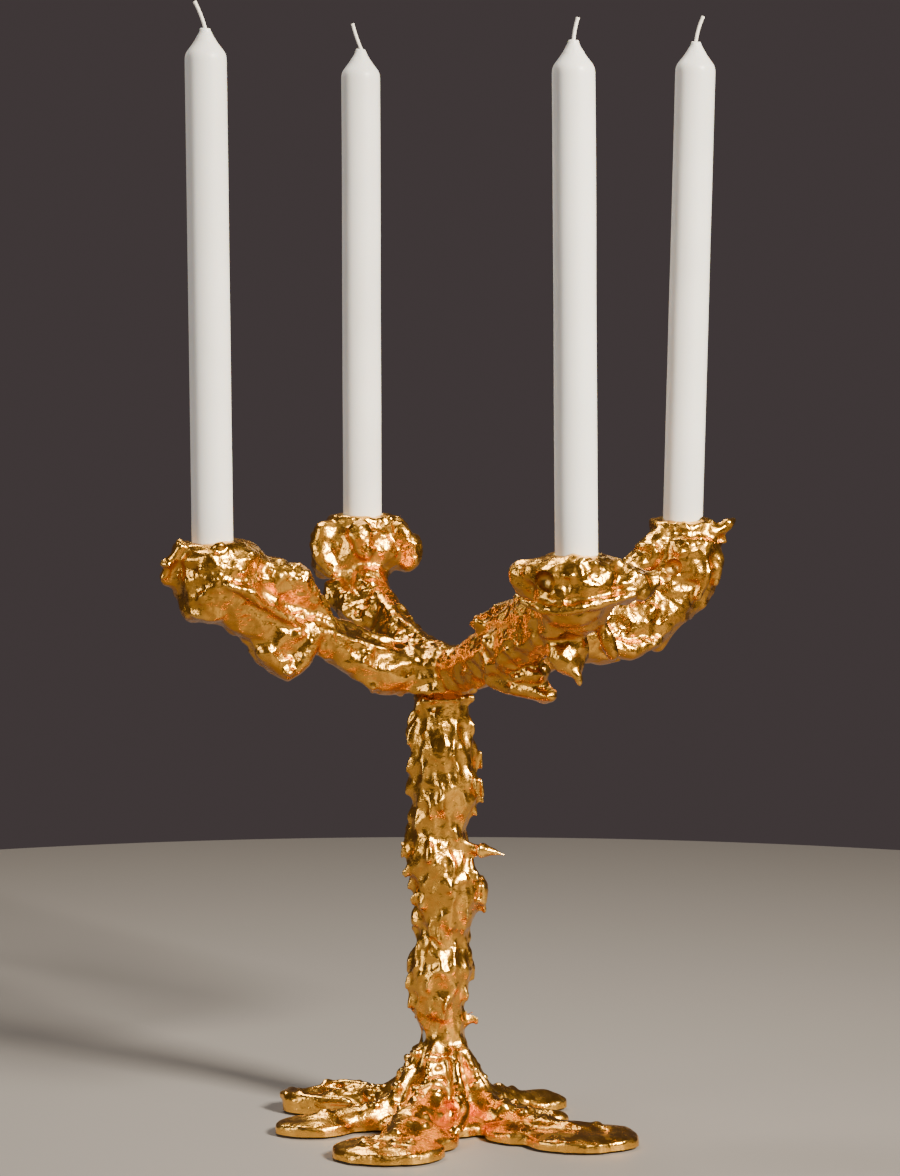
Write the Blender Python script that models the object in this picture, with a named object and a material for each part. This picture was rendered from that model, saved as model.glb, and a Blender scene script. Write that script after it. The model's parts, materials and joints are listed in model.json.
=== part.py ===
"""Tabletop candelabra: a rough gilded casting on a spreading foot, four candles.

The castings are an aluminium foot, a stem, a crown hub and four arms with a
candle cup each.  A tie rod, tightened by a nut under the foot, clamps foot,
stem and hub together; each arm screws onto the hub with a stud.

World frame: origin on the stem's axis at the surface that the foot stands on,
+X right, +Y to the back, +Z up.  Lengths below are in millimetres.
"""

import math

import bmesh
import bpy
from mathutils import Matrix, Vector, noise

MM = 0.001
GAP = 0.3                       # clearance between pieces that touch

# Candles and sockets
CANDLE_RADIUS = 11.0
CANDLE_LENGTH = 286.0
CANDLE_TIP = 13.5               # height of the moulded cone
WICK_RADIUS = 0.9
WICK_BORE_RADIUS = 1.3
SOCKET_RADIUS = CANDLE_RADIUS + 0.4

# Levels of the clamped column
FELT_THICKNESS = 1.2
FOOT_UNDERSIDE = FELT_THICKNESS + GAP
RECESS_CEILING = 13.5
NECK_LEVEL = 45.0               # joint between foot and stem
COLLAR_LEVEL = 238.5            # joint between stem and hub
HUB_HALF_WIDTH = 20.0           # stem axis to each arm's joint face

# Fasteners
ROD_RADIUS = 4.0
ROD_BORE_RADIUS = 4.5
ROD_TOP = 256.0
RECESS_RADIUS = 15.0
STUD_RADIUS = 3.0
STUD_LEVEL = 252.0
STUD_IN_HUB = 9.0
STUD_IN_ARM = 13.0
PIN_RADIUS = 2.0
PIN_LENGTH = 14.0
PIN_OFFSET = 9.0
NUT_ACROSS_FLATS = 13.0
NUT_HEIGHT = 6.4
WASHER_RADIUS = 12.0
SPRING_WASHER_RADIUS = 7.4
WASHER_THICKNESS = 2.0

# Felt: name, x, y, radius
PADS = (
    ("pad_center", 0.0, 0.0, 19.0),
    ("pad_front", -26.0, -86.0, 11.0),
    ("pad_right", 78.0, -56.0, 13.0),
    ("pad_left", -68.0, -30.0, 9.0),
    ("pad_back_left", -62.0, 32.0, 11.0),
    ("pad_back_right", 53.0, 32.0, 9.0),
)

# A strand is a run of beads through (x, y, z, radius).
# A lump is an ellipsoid (x, y, z, radius x, radius y, radius z).
# A puddle is a flat-topped lobe (x, y, radius x, radius y, top level).
FOOT_STRANDS = (
    ((1.3, 0, 52, 14.5), (1, 0, 40, 15.2), (0, -2, 26, 18), (0, -4, 12, 25)),
    ((0, -8, 24, 13), (-8, -28, 13, 13), (-17, -52, 7, 13), (-24, -78, 5, 9)),
    ((6, -6, 20, 12), (28, -24, 9, 11), (52, -42, 5, 10), (80, -56, 4, 7)),
    ((-8, -4, 19, 11), (-28, -14, 8, 11), (-50, -24, 5, 9), (-72, -30, 4, 7)),
    ((-8, 6, 19, 11), (-26, 16, 8, 11), (-44, 26, 5, 9), (-64, 34, 4, 6)),
    ((8, 6, 19, 11), (24, 16, 8, 11), (40, 24, 5, 8), (56, 34, 4, 6)),
    ((10, -2, 18, 10), (30, -8, 8, 9), (46, -12, 5, 7), (62, -16, 4, 6)),
    ((-66, 12, 6, 4.2), (-84, 20, 7, 4.2), (-80, 38, 7, 4.2), (-62, 48, 5, 4.2)),
)
FOOT_PUDDLES = (
    (-28, -86, 31, 23, 9.5),
    (-12, -60, 22, 22, 10.5),
    (76, -56, 32, 27, 8.6),
    (42, -42, 20, 20, 9.5),
    (-70, -30, 22, 16, 9.0),
    (-60, 30, 24, 20, 7.5),
    (53, 32, 18, 14, 8.5),
    (58, -14, 13, 9, 8.5),
    (0, -12, 38, 34, 10.5),
)

STEM_STRAND = (
    (1.3, 0, 36, 14.0), (1.0, 0, 50, 14.3), (-0.5, 0, 62, 15.0), (-2.0, 0, 73, 18.0),
    (-1.0, 0, 85, 19.0), (-0.7, 0, 98, 15.0), (1.5, 0, 110, 16.0), (3.0, 0, 121, 20.0),
    (1.5, 0, 135, 20.5), (-2.5, 0, 150, 19.5), (-2.2, 0, 165, 17.2), (1.5, 0, 184, 21.0),
    (0.3, 0, 198, 20.6), (0.0, 0, 212, 20.0), (0.0, 0, 225, 17.8), (1.0, 0, 246, 16.0),
)
STEM_TWIG = ((14, -6, 153, 5.0), (24, -7, 152, 3.4), (30, -7, 151, 2.2), (35.5, -7, 149.5, 1.3))
STEM_NODULES = 30               # drips wound up the stem
GOLDEN_ANGLE = math.radians(137.5)

HUB_LUMPS = (
    (1, 0, 248, 23, 23, 13),
    (-4, -3, 255, 18, 18, 9),
)

# Each arm: cup axis x and y at the rim, rim level, socket depth, lean to +X in
# degrees, the wick's bend above the wax, and the beads that the casting is made of.
ARMS = {
    "front_left": {
        "cup": (-121.7, -45.0), "rim": 324.5, "depth": 16.0, "lean": -0.51,
        "wick": ((0, 0, 0), (-2.2, 0, 5.0), (-2.6, 0, 8.5), (-5.6, 0, 13.5)),
        "strands": (
            ((-12, -4, 252, 12.5), (-27, -10, 251, 13), (-42, -15, 257, 12),
             (-56, -20, 266, 11.5), (-70, -25, 274, 12.5), (-84, -31, 274, 15),
             (-98, -37, 283, 16), (-113, -43, 297, 19)),
            ((-34, -15, 246, 5.5), (-38, -16, 240.5, 3.2)),
            ((-92, -33, 266, 12), (-86, -31, 258, 8), (-82, -31, 251, 3.8)),
            ((-142, -49, 306, 7), (-147, -50, 303, 3.5)),
            ((-64, -24, 284, 5), (-78, -33, 301, 10), (-92, -38, 305, 12)),
        ),
        "lumps": (
            (-119, -44, 305, 25, 24, 20),
            (-119, -44, 314, 26, 24, 11),
            (-124, -46, 291, 17, 18, 12),
            (-78, -33, 302, 10.5, 10, 11.5),
        ),
    },
    "front_right": {
        "cup": (69.3, -128.0), "rim": 325.0, "depth": 26.0, "lean": -0.53,
        "wick": ((0, 0, 0), (0.6, 0, 4.5), (2.2, 0, 8.5), (2.4, 0, 11.5)),
        "strands": (
            ((6, -12, 252, 13), (14, -27, 254, 13.5), (24, -46, 262, 15),
             (34, -64, 267, 16), (44, -82, 275, 15), (55, -100, 285, 15),
             (64, -116, 294, 16), (69, -126, 304, 21)),
            ((24, -48, 275, 7), (36, -72, 284, 8), (44, -92, 291, 9)),
            ((46, -72, 256, 9), (54, -80, 248, 5.5), (56, -82, 245, 3.0)),
            ((66, -112, 276, 11), (68, -112, 269, 8), (70, -112, 262, 2.6)),
            ((84, -120, 304, 9), (98, -122, 308, 9), (107, -123, 310, 6.5)),
            ((48, -126, 310, 10), (40, -127, 315, 6)),
        ),
        "lumps": (
            (69, -127, 309, 25, 23, 17),
            (66, -127, 316, 28, 23, 9.5),
            (92, -124, 309, 17, 15, 11),
        ),
    },
    "back_left": {
        "cup": (-45.7, 125.0), "rim": 326.0, "depth": 22.0, "lean": -0.10,
        "wick": ((0, 0, 0), (-1.8, 0, 5.0), (-3.4, 0, 9.0), (-4.6, 0, 14.0)),
        "strands": (
            ((-5, 13, 252, 12.5), (-11, 30, 253, 13), (-18, 50, 258, 12.5),
             (-27, 72, 265, 13), (-37, 94, 275, 13.5), (-44, 110, 285, 15),
             (-47, 122, 298, 19)),
            ((-38, 80, 271, 9), (-52, 92, 275, 9), (-60, 104, 282, 9)),
            ((-30, 122, 306, 13), (-23, 123, 300, 8), (-21, 123, 296, 4)),
        ),
        "lumps": (
            (-47, 125, 307, 28, 25, 18.5),
            (-63, 124, 304, 14, 16, 17),
            (-31, 124, 311, 14, 15, 14),
        ),
    },
    "back_right": {
        "cup": (134.3, 58.0), "rim": 327.5, "depth": 22.0, "lean": 1.28,
        "wick": ((0, 0, 0), (0.4, 0, 4.0), (2.0, 0, 9.0), (3.6, 0, 13.5)),
        "strands": (
            ((13, 5, 252, 12.5), (30, 13, 253, 13), (50, 22, 258, 14),
             (70, 30, 265, 16), (90, 39, 268, 17), (108, 46, 272, 17.5),
             (121, 52, 282, 18), (131, 56, 297, 19)),
            ((146, 57, 320, 6), (157, 57, 324, 4), (164, 57, 328, 2.0)),
            ((118, 50, 264, 9), (121, 50, 258, 4)),
            ((147, 58, 302, 7), (145, 58, 289, 7), (136, 56, 277, 7)),
            ((86, 33, 258, 9), (97, 38, 254, 5)),
        ),
        "lumps": (
            (134, 58, 308, 23.5, 23, 19.5),
            (142, 58, 308, 14, 17, 15),
        ),
    },
}

# Finish: base colour, metallic, roughness
FINISHES = {
    "gilt": ((0.83, 0.53, 0.17), 1.0, 0.30),
    "steel": ((0.55, 0.56, 0.58), 1.0, 0.35),
    "wax": ((0.88, 0.86, 0.82), 0.0, 0.45),
    "cotton": ((0.86, 0.83, 0.76), 0.0, 0.9),
    "felt": ((0.05, 0.045, 0.04), 0.0, 0.95),
}

BEAD_STEP = 0.35                # bead spacing along a strand, in bead radii


# ---------------------------------------------------------------- scene helpers

def clear_scene():
    for obj in list(bpy.data.objects):
        bpy.data.objects.remove(obj, do_unlink=True)
    for mesh in list(bpy.data.meshes):
        bpy.data.meshes.remove(mesh)


def new_object(name, bm):
    mesh = bpy.data.meshes.new(name)
    bmesh.ops.recalc_face_normals(bm, faces=bm.faces[:])
    bm.to_mesh(mesh)
    bm.free()
    obj = bpy.data.objects.new(name, mesh)
    bpy.context.scene.collection.objects.link(obj)
    return obj


def finish(obj, slot, smooth_below=50.0):
    """Give the object its own material and smooth its round faces."""
    colour, metallic, roughness = FINISHES[slot]
    material = bpy.data.materials.new(obj.name)
    material.use_nodes = True
    shader = material.node_tree.nodes["Principled BSDF"]
    shader.inputs["Base Color"].default_value = (*colour, 1.0)
    shader.inputs["Metallic"].default_value = metallic
    shader.inputs["Roughness"].default_value = roughness
    material.diffuse_color = (*colour, 1.0)
    obj.data.materials.clear()
    obj.data.materials.append(material)
    obj.data.shade_smooth()
    obj.data.set_sharp_from_angle(angle=math.radians(smooth_below))


def bake(obj):
    """Turn the object's modifiers into its mesh."""
    graph = bpy.context.evaluated_depsgraph_get()
    graph.update()
    mesh = bpy.data.meshes.new_from_object(obj.evaluated_get(graph))
    old = obj.data
    obj.modifiers.clear()
    obj.data = mesh
    bpy.data.meshes.remove(old)


# ---------------------------------------------------------------- turned shapes

def turned(bm, profile, segments, closed=False, outline=None, matrix=Matrix()):
    """Revolve (radius, z) points about Z; a radius of zero makes a pole."""
    rings = []
    for radius, z in profile:
        if radius == 0.0:
            rings.append([bm.verts.new(matrix @ Vector((0, 0, z * MM)))])
            continue
        ring = []
        for step in range(segments):
            angle = math.tau * step / segments
            factor = outline(radius, angle) if outline else 1.0
            x = radius * factor * math.cos(angle)
            y = radius * factor * math.sin(angle)
            ring.append(bm.verts.new(matrix @ Vector((x * MM, y * MM, z * MM))))
        rings.append(ring)
    pairs = list(zip(rings, rings[1:]))
    if closed:
        pairs.append((rings[-1], rings[0]))
    for low, high in pairs:
        for step in range(segments):
            following = (step + 1) % segments
            corners = [low[step % len(low)], low[following % len(low)],
                       high[following % len(high)], high[step % len(high)]]
            bm.faces.new(list(dict.fromkeys(corners)))


def rod_profile(radius, low, high, chamfer):
    return ((0.0, low), (radius - chamfer, low), (radius, low + chamfer),
            (radius, high - chamfer), (radius - chamfer, high), (0.0, high))


def plain_rod(radius, low, high):
    return ((0.0, low), (radius, low), (radius, high), (0.0, high))


def turned_object(name, profile, segments, **options):
    bm = bmesh.new()
    turned(bm, profile, segments, **options)
    return new_object(name, bm)


# ---------------------------------------------------------------- cast shapes

def curve_through(points, step_in_radii):
    """Smooth samples (x, y, z, radius) along a strand."""
    samples = []
    count = len(points)
    for index in range(count - 1):
        p0 = Vector(points[max(index - 1, 0)])
        p1 = Vector(points[index])
        p2 = Vector(points[index + 1])
        p3 = Vector(points[min(index + 2, count - 1)])
        span = (p2.xyz - p1.xyz).length
        steps = max(1, math.ceil(span / (step_in_radii * min(p1[3], p2[3]))))
        for step in range(steps):
            t = step / steps
            samples.append(0.5 * (2 * p1 + (p2 - p0) * t
                                  + (2 * p0 - 5 * p1 + 4 * p2 - p3) * t * t
                                  + (3 * p1 - p0 - 3 * p2 + p3) * t ** 3))
    samples.append(Vector(points[-1]))
    return samples


def add_ball(bm, centre, radii, flatness=2.0):
    """An ellipsoid, or with more flatness a puddle with upright sides."""
    place = Matrix.Translation(Vector(centre) * MM)
    made = bmesh.ops.create_icosphere(bm, subdivisions=2, radius=1.0)["verts"]
    for vert in made:
        across = math.hypot(vert.co.x, vert.co.y)
        stretch = (across ** flatness + abs(vert.co.z) ** flatness) ** (-1.0 / flatness)
        vert.co = place @ (Vector(a * b for a, b in zip(vert.co, radii)) * stretch * MM)


def add_strand(bm, points):
    for sample in curve_through(points, BEAD_STEP):
        radius = max(sample[3], 0.8)
        add_ball(bm, sample.xyz, (radius, radius, radius))


def roughen(mesh, seed, amount, size):
    """Push the surface in and out by noise, as the rough casting does."""
    offset = Vector((seed * 7.3, seed * 3.1, seed * 5.7))
    moves = []
    for vert in mesh.vertices:
        spot = vert.co / (size * MM) + offset
        wave = noise.noise(spot) + 0.5 * noise.noise(spot * 2.1)
        moves.append(vert.normal * (wave * amount * MM))
    for vert, move in zip(mesh.vertices, moves):
        vert.co += move


def keep_outer_skin(mesh):
    """Drop every island but the largest, such as a void among the beads."""
    bm = bmesh.new()
    bm.from_mesh(mesh)
    unseen = set(bm.verts)
    islands = []
    while unseen:
        edge_of_search = [unseen.pop()]
        island = list(edge_of_search)
        while edge_of_search:
            vert = edge_of_search.pop()
            for edge in vert.link_edges:
                other = edge.other_vert(vert)
                if other in unseen:
                    unseen.remove(other)
                    edge_of_search.append(other)
                    island.append(other)
        islands.append(island)
    islands.sort(key=len)
    for island in islands[:-1]:
        bmesh.ops.delete(bm, geom=island, context="VERTS")
    bm.to_mesh(mesh)
    bm.free()


def casting(name, bm, seed, voxel, triangles, amount=2.2, size=9.0):
    """Fuse overlapping beads into one rough skin of about this many triangles."""
    obj = new_object(name, bm)
    fuse = obj.modifiers.new("fuse", "REMESH")
    fuse.mode = "VOXEL"
    fuse.voxel_size = voxel * MM
    ease = obj.modifiers.new("ease", "SMOOTH")
    ease.factor = 0.5
    ease.iterations = 3
    bake(obj)
    keep_outer_skin(obj.data)
    roughen(obj.data, seed, amount, size)
    thin = obj.modifiers.new("thin", "DECIMATE")
    obj.data.calc_loop_triangles()
    thin.ratio = triangles / len(obj.data.loop_triangles)
    thin.use_collapse_triangulate = True
    bake(obj)
    return obj


# ---------------------------------------------------------------- cutting

def cut(obj, name, bm):
    """Subtract one closed shape from the object."""
    cutter = new_object(name, bm)
    trim = obj.modifiers.new(name, "BOOLEAN")
    trim.operation = "DIFFERENCE"
    trim.solver = "EXACT"
    trim.object = cutter
    bake(obj)
    bpy.data.objects.remove(cutter, do_unlink=True)


def half_space(direction, distance, reach=1400.0):
    """A block that fills everything beyond a plane at right angles to direction."""
    bm = bmesh.new()
    bmesh.ops.create_cube(bm, size=reach * MM)
    turn = Vector(direction).to_track_quat("Z", "Y").to_matrix().to_4x4()
    shift = Matrix.Translation(Vector(direction) * (distance + reach / 2) * MM)
    bmesh.ops.transform(bm, matrix=shift @ turn, verts=bm.verts[:])
    return bm


def drill(obj, name, profile, segments=20, matrix=Matrix()):
    bm = bmesh.new()
    turned(bm, profile, segments, matrix=matrix)
    cut(obj, name, bm)


# ---------------------------------------------------------------- castings

def arm_direction(arm):
    return Vector((*arm["cup"], 0.0)).normalized()


def stud_matrix(arm):
    """Z along the arm, origin on the stem's axis at the stud's level."""
    turn = arm_direction(arm).to_track_quat("Z", "Y").to_matrix().to_4x4()
    return Matrix.Translation(Vector((0, 0, STUD_LEVEL)) * MM) @ turn


def socket_matrix(arm):
    """Z up the candle's leaning axis, origin on the socket's floor."""
    turn = Matrix.Rotation(math.radians(arm["lean"]), 4, "Y")
    rim = Matrix.Translation(Vector((*arm["cup"], arm["rim"])) * MM)
    down = Matrix.Translation(Vector((0, 0, -arm["depth"])) * MM)
    return rim @ turn @ down


def pin_matrix(level, angle):
    offset = Vector((math.cos(angle), math.sin(angle), 0)) * PIN_OFFSET
    return Matrix.Translation((offset + Vector((0, 0, level))) * MM)


PIN_PLACES = {
    "foot_pin": pin_matrix(NECK_LEVEL, math.radians(200)),
    "crown_pin": pin_matrix(COLLAR_LEVEL, math.radians(65)),
}


def drill_pin(obj, name):
    reach = PIN_LENGTH / 2 + GAP
    drill(obj, name, plain_rod(PIN_RADIUS + GAP, -reach, reach), 12, PIN_PLACES[name])


def make_foot():
    bm = bmesh.new()
    for strand in FOOT_STRANDS:
        add_strand(bm, strand)
    for x, y, radius_x, radius_y, top in FOOT_PUDDLES:
        add_ball(bm, (x, y, 0), (radius_x, radius_y, top), flatness=4.0)
    foot = casting("foot", bm, seed=1, voxel=1.6, triangles=2300, amount=1.4, size=12.0)
    cut(foot, "underside", half_space((0, 0, -1), -FOOT_UNDERSIDE))
    cut(foot, "neck", half_space((0, 0, 1), NECK_LEVEL - GAP / 2))
    drill(foot, "recess", (
        (0.0, FOOT_UNDERSIDE - 1), (RECESS_RADIUS, FOOT_UNDERSIDE - 1),
        (RECESS_RADIUS, RECESS_CEILING), (ROD_BORE_RADIUS, RECESS_CEILING),
        (ROD_BORE_RADIUS, NECK_LEVEL + 1), (0.0, NECK_LEVEL + 1)), 24)
    drill_pin(foot, "foot_pin")
    finish(foot, "gilt")


def make_stem():
    bm = bmesh.new()
    add_strand(bm, STEM_STRAND)
    add_strand(bm, STEM_TWIG)
    for index in range(STEM_NODULES):
        height = NECK_LEVEL + 12 + index * (COLLAR_LEVEL - NECK_LEVEL - 24) / STEM_NODULES
        angle = index * GOLDEN_ANGLE
        reach = 16.5 + 1.5 * math.sin(height / 9.0)
        spot = (reach * math.cos(angle), reach * math.sin(angle), height)
        add_ball(bm, spot, (3.8, 3.8, 6.0))
    stem = casting("stem", bm, seed=2, voxel=1.6, triangles=2000, amount=1.8, size=7.0)
    cut(stem, "neck", half_space((0, 0, -1), -(NECK_LEVEL + GAP / 2)))
    cut(stem, "collar", half_space((0, 0, 1), COLLAR_LEVEL - GAP / 2))
    drill(stem, "bore", plain_rod(ROD_BORE_RADIUS, NECK_LEVEL - 1, COLLAR_LEVEL + 1), 16)
    drill_pin(stem, "foot_pin")
    drill_pin(stem, "crown_pin")
    finish(stem, "gilt")


def make_hub():
    bm = bmesh.new()
    for x, y, z, *radii in HUB_LUMPS:
        add_ball(bm, (x, y, z), radii)
    for arm in ARMS.values():
        reach = arm_direction(arm) * HUB_HALF_WIDTH
        first = (0, 0, STUD_LEVEL - 1, 13)
        last = (reach.x, reach.y, STUD_LEVEL, 13)
        add_strand(bm, (first, last))
    hub = casting("crown_hub", bm, seed=3, voxel=1.4, triangles=620, amount=1.4, size=8.0)
    cut(hub, "collar", half_space((0, 0, -1), -(COLLAR_LEVEL + GAP / 2)))
    drill(hub, "thread", plain_rod(ROD_RADIUS + GAP, COLLAR_LEVEL - 1, ROD_TOP + 1), 16)
    drill_pin(hub, "crown_pin")
    for name, arm in ARMS.items():
        cut(hub, "face_" + name, half_space(arm_direction(arm), HUB_HALF_WIDTH - GAP / 2))
        hole = plain_rod(STUD_RADIUS + GAP, HUB_HALF_WIDTH - STUD_IN_HUB - GAP,
                         HUB_HALF_WIDTH + 1)
        drill(hub, "stud_hole_" + name, hole, 12, stud_matrix(arm))
    finish(hub, "gilt")


def make_arm(name, arm, seed):
    bm = bmesh.new()
    for strand in arm["strands"]:
        add_strand(bm, strand)
    for x, y, z, *radii in arm["lumps"]:
        add_ball(bm, (x, y, z), radii, flatness=2.6)
    obj = casting("arm_" + name, bm, seed=seed, voxel=1.4, triangles=1150)
    direction = arm_direction(arm)
    cut(obj, "joint_face", half_space(-direction, -(HUB_HALF_WIDTH + GAP / 2)))
    hole = plain_rod(STUD_RADIUS + GAP, HUB_HALF_WIDTH - 1,
                     HUB_HALF_WIDTH + STUD_IN_ARM + GAP)
    drill(obj, "stud_hole", hole, 12, stud_matrix(arm))
    drill(obj, "socket", plain_rod(SOCKET_RADIUS, 0, arm["depth"] + 30), 28,
          socket_matrix(arm))
    finish(obj, "gilt")


# ---------------------------------------------------------------- fasteners

def make_stud(name, arm):
    profile = rod_profile(STUD_RADIUS, HUB_HALF_WIDTH - STUD_IN_HUB,
                          HUB_HALF_WIDTH + STUD_IN_ARM, 0.6)
    stud = turned_object("stud_" + name, profile, 12)
    stud.matrix_world = stud_matrix(arm)
    finish(stud, "steel")


def make_tie_rod():
    nut_bottom = RECESS_CEILING - 3 * GAP - 2 * WASHER_THICKNESS - NUT_HEIGHT
    rod = turned_object("tie_rod", rod_profile(ROD_RADIUS, nut_bottom, ROD_TOP, 0.8), 16)
    finish(rod, "steel")


def make_washer():
    top = RECESS_CEILING - GAP
    inner = ROD_RADIUS + GAP
    outer = WASHER_RADIUS
    profile = ((inner, top - WASHER_THICKNESS), (outer, top - WASHER_THICKNESS),
               (outer, top), (inner, top))
    finish(turned_object("foot_washer", profile, 24, closed=True), "steel")


def make_spring_washer():
    """A square wire wound once about the rod, its cut ends a little apart."""
    top = RECESS_CEILING - 2 * GAP - WASHER_THICKNESS
    low = top - WASHER_THICKNESS
    inner = ROD_RADIUS + GAP
    outer = SPRING_WASHER_RADIUS
    bm = bmesh.new()
    sections = []
    for step in range(25):
        angle = math.radians(8 + 344 * step / 24)
        around = Vector((math.cos(angle), math.sin(angle), 0))
        corners = ((inner, low), (outer, low), (outer, top), (inner, top))
        sections.append([bm.verts.new((around * radius + Vector((0, 0, z))) * MM)
                         for radius, z in corners])
    for first, second in zip(sections, sections[1:]):
        for side in range(4):
            after = (side + 1) % 4
            bm.faces.new((first[side], first[after], second[after], second[side]))
    bm.faces.new(sections[0])
    bm.faces.new(reversed(sections[-1]))
    finish(new_object("spring_washer", bm), "steel", smooth_below=30.0)


def hexagon(radius, angle):
    """Radius factor that turns the nut's outer circle into six flats."""
    if radius < NUT_ACROSS_FLATS / 2:
        return 1.0
    sixth = math.tau / 6
    return 1.0 / math.cos((angle % sixth) - sixth / 2)


def make_nut():
    top = RECESS_CEILING - 3 * GAP - 2 * WASHER_THICKNESS
    low = top - NUT_HEIGHT
    inner = ROD_RADIUS + GAP
    flat = NUT_ACROSS_FLATS / 2
    profile = ((inner, low), (flat, low), (flat, top), (inner, top))
    nut = turned_object("foot_nut", profile, 24, closed=True, outline=hexagon)
    finish(nut, "steel", smooth_below=25.0)


def make_pin(name):
    half = PIN_LENGTH / 2
    pin = turned_object(name, rod_profile(PIN_RADIUS, -half, half, 0.4), 12)
    pin.matrix_world = PIN_PLACES[name]
    finish(pin, "steel")


def make_pad(name, x, y, radius):
    pad = turned_object(name, plain_rod(radius, 0, FELT_THICKNESS), 24)
    pad.location = Vector((x, y, 0)) * MM
    finish(pad, "felt")


# ---------------------------------------------------------------- candles

def candle_profile():
    """Closed outline: foot chamfer, straight side, hollow-flanked tip, wick bore."""
    shoulder = CANDLE_LENGTH - CANDLE_TIP
    points = [(WICK_BORE_RADIUS, GAP), (CANDLE_RADIUS - 0.7, GAP),
              (CANDLE_RADIUS, GAP + 1.0), (CANDLE_RADIUS, shoulder)]
    for fraction in (0.12, 0.3, 0.55, 0.8, 1.0):
        radius = 2.0 + (CANDLE_RADIUS - 2.2) * (1 - fraction) ** 1.25
        points.append((radius, shoulder + CANDLE_TIP * fraction))
    points.append((WICK_BORE_RADIUS, CANDLE_LENGTH))
    return points


def add_wick(bm, bend):
    """A round cord up the candle's bore, bent over above the tip."""
    route = [(0, 0, 1.5), (0, 0, CANDLE_LENGTH - 4)]
    route += [(x, y, CANDLE_LENGTH + 1 + z) for x, y, z in bend]
    sides = 8
    rings = []
    for index, spot in enumerate(route):
        before = Vector(route[max(index - 1, 0)])
        after = Vector(route[min(index + 1, len(route) - 1)])
        turn = (after - before).to_track_quat("Z", "Y")
        ring = []
        for step in range(sides):
            angle = math.tau * step / sides
            edge = Vector((math.cos(angle), math.sin(angle), 0)) * WICK_RADIUS
            ring.append(bm.verts.new((Vector(spot) + turn @ edge) * MM))
        rings.append(ring)
    for low, high in zip(rings, rings[1:]):
        for step in range(sides):
            after = (step + 1) % sides
            bm.faces.new((low[step], low[after], high[after], high[step]))
    bm.faces.new(reversed(rings[0]))
    bm.faces.new(rings[-1])


def make_candle(name, arm):
    candle = turned_object("candle_" + name, candle_profile(), 24, closed=True)
    candle.matrix_world = socket_matrix(arm)
    finish(candle, "wax")
    bm = bmesh.new()
    add_wick(bm, arm["wick"])
    wick = new_object("wick_" + name, bm)
    wick.parent = candle
    finish(wick, "cotton")


def main():
    clear_scene()
    make_foot()
    make_stem()
    make_hub()
    for number, (name, arm) in enumerate(ARMS.items()):
        make_arm(name, arm, seed=10 + number)
        make_stud(name, arm)
        make_candle(name, arm)
    make_tie_rod()
    make_washer()
    make_spring_washer()
    make_nut()
    for name in PIN_PLACES:
        make_pin(name)
    for name, x, y, radius in PADS:
        make_pad(name, x, y, radius)
    bpy.context.view_layer.update()


main()
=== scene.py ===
"""Looks of a rough gilded candelabra: crumpled castings, wax candles, wicks, felt, fasteners.

Castings are built in millimetres from the frame's plain solids: the solids are fused to one
skin, drips and lumps are stuck on, the skin is crumpled, and it is cut again at the joints,
bores and sockets.  Lengths are in millimetres, apart from those of the settings, lights and
camera, which are in metres.  The last number of a noise call is its seed.
"""

import json
import math

import bmesh
import bpy
import numpy as np
from bpy.props import FloatProperty, FloatVectorProperty, IntProperty, PointerProperty
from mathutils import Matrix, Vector
from mathutils.bvhtree import BVHTree


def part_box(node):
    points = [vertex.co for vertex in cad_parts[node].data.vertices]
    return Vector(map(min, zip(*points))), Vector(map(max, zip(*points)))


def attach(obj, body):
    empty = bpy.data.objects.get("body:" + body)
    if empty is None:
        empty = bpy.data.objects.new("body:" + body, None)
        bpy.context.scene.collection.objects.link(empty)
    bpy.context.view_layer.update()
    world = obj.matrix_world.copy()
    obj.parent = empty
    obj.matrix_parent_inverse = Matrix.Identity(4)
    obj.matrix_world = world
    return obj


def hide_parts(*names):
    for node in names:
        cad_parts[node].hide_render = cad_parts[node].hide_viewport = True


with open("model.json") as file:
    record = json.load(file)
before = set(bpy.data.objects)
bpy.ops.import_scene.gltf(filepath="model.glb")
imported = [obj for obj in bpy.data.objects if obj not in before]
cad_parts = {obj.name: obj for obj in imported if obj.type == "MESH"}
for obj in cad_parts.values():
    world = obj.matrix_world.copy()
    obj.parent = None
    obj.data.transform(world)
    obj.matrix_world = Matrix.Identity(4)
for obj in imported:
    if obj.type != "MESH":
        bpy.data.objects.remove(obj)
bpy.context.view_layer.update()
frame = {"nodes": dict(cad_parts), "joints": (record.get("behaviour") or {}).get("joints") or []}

bl_info = {
    "name": "Rough Gilded Candelabra",
    "version": (1, 0, 0),
    "blender": (4, 5, 0),
    "location": "View3D > Sidebar > Candelabra",
    "description": "Builds the finished surfaces of a cast candelabra over its frame",
    "category": "Object",
}

MM = 0.001
ARMS = ("front_left", "front_right", "back_left", "back_right")
JOINT_LINE = 0.06               # visible gap between two castings, millimetres


# ---- settings

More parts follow.
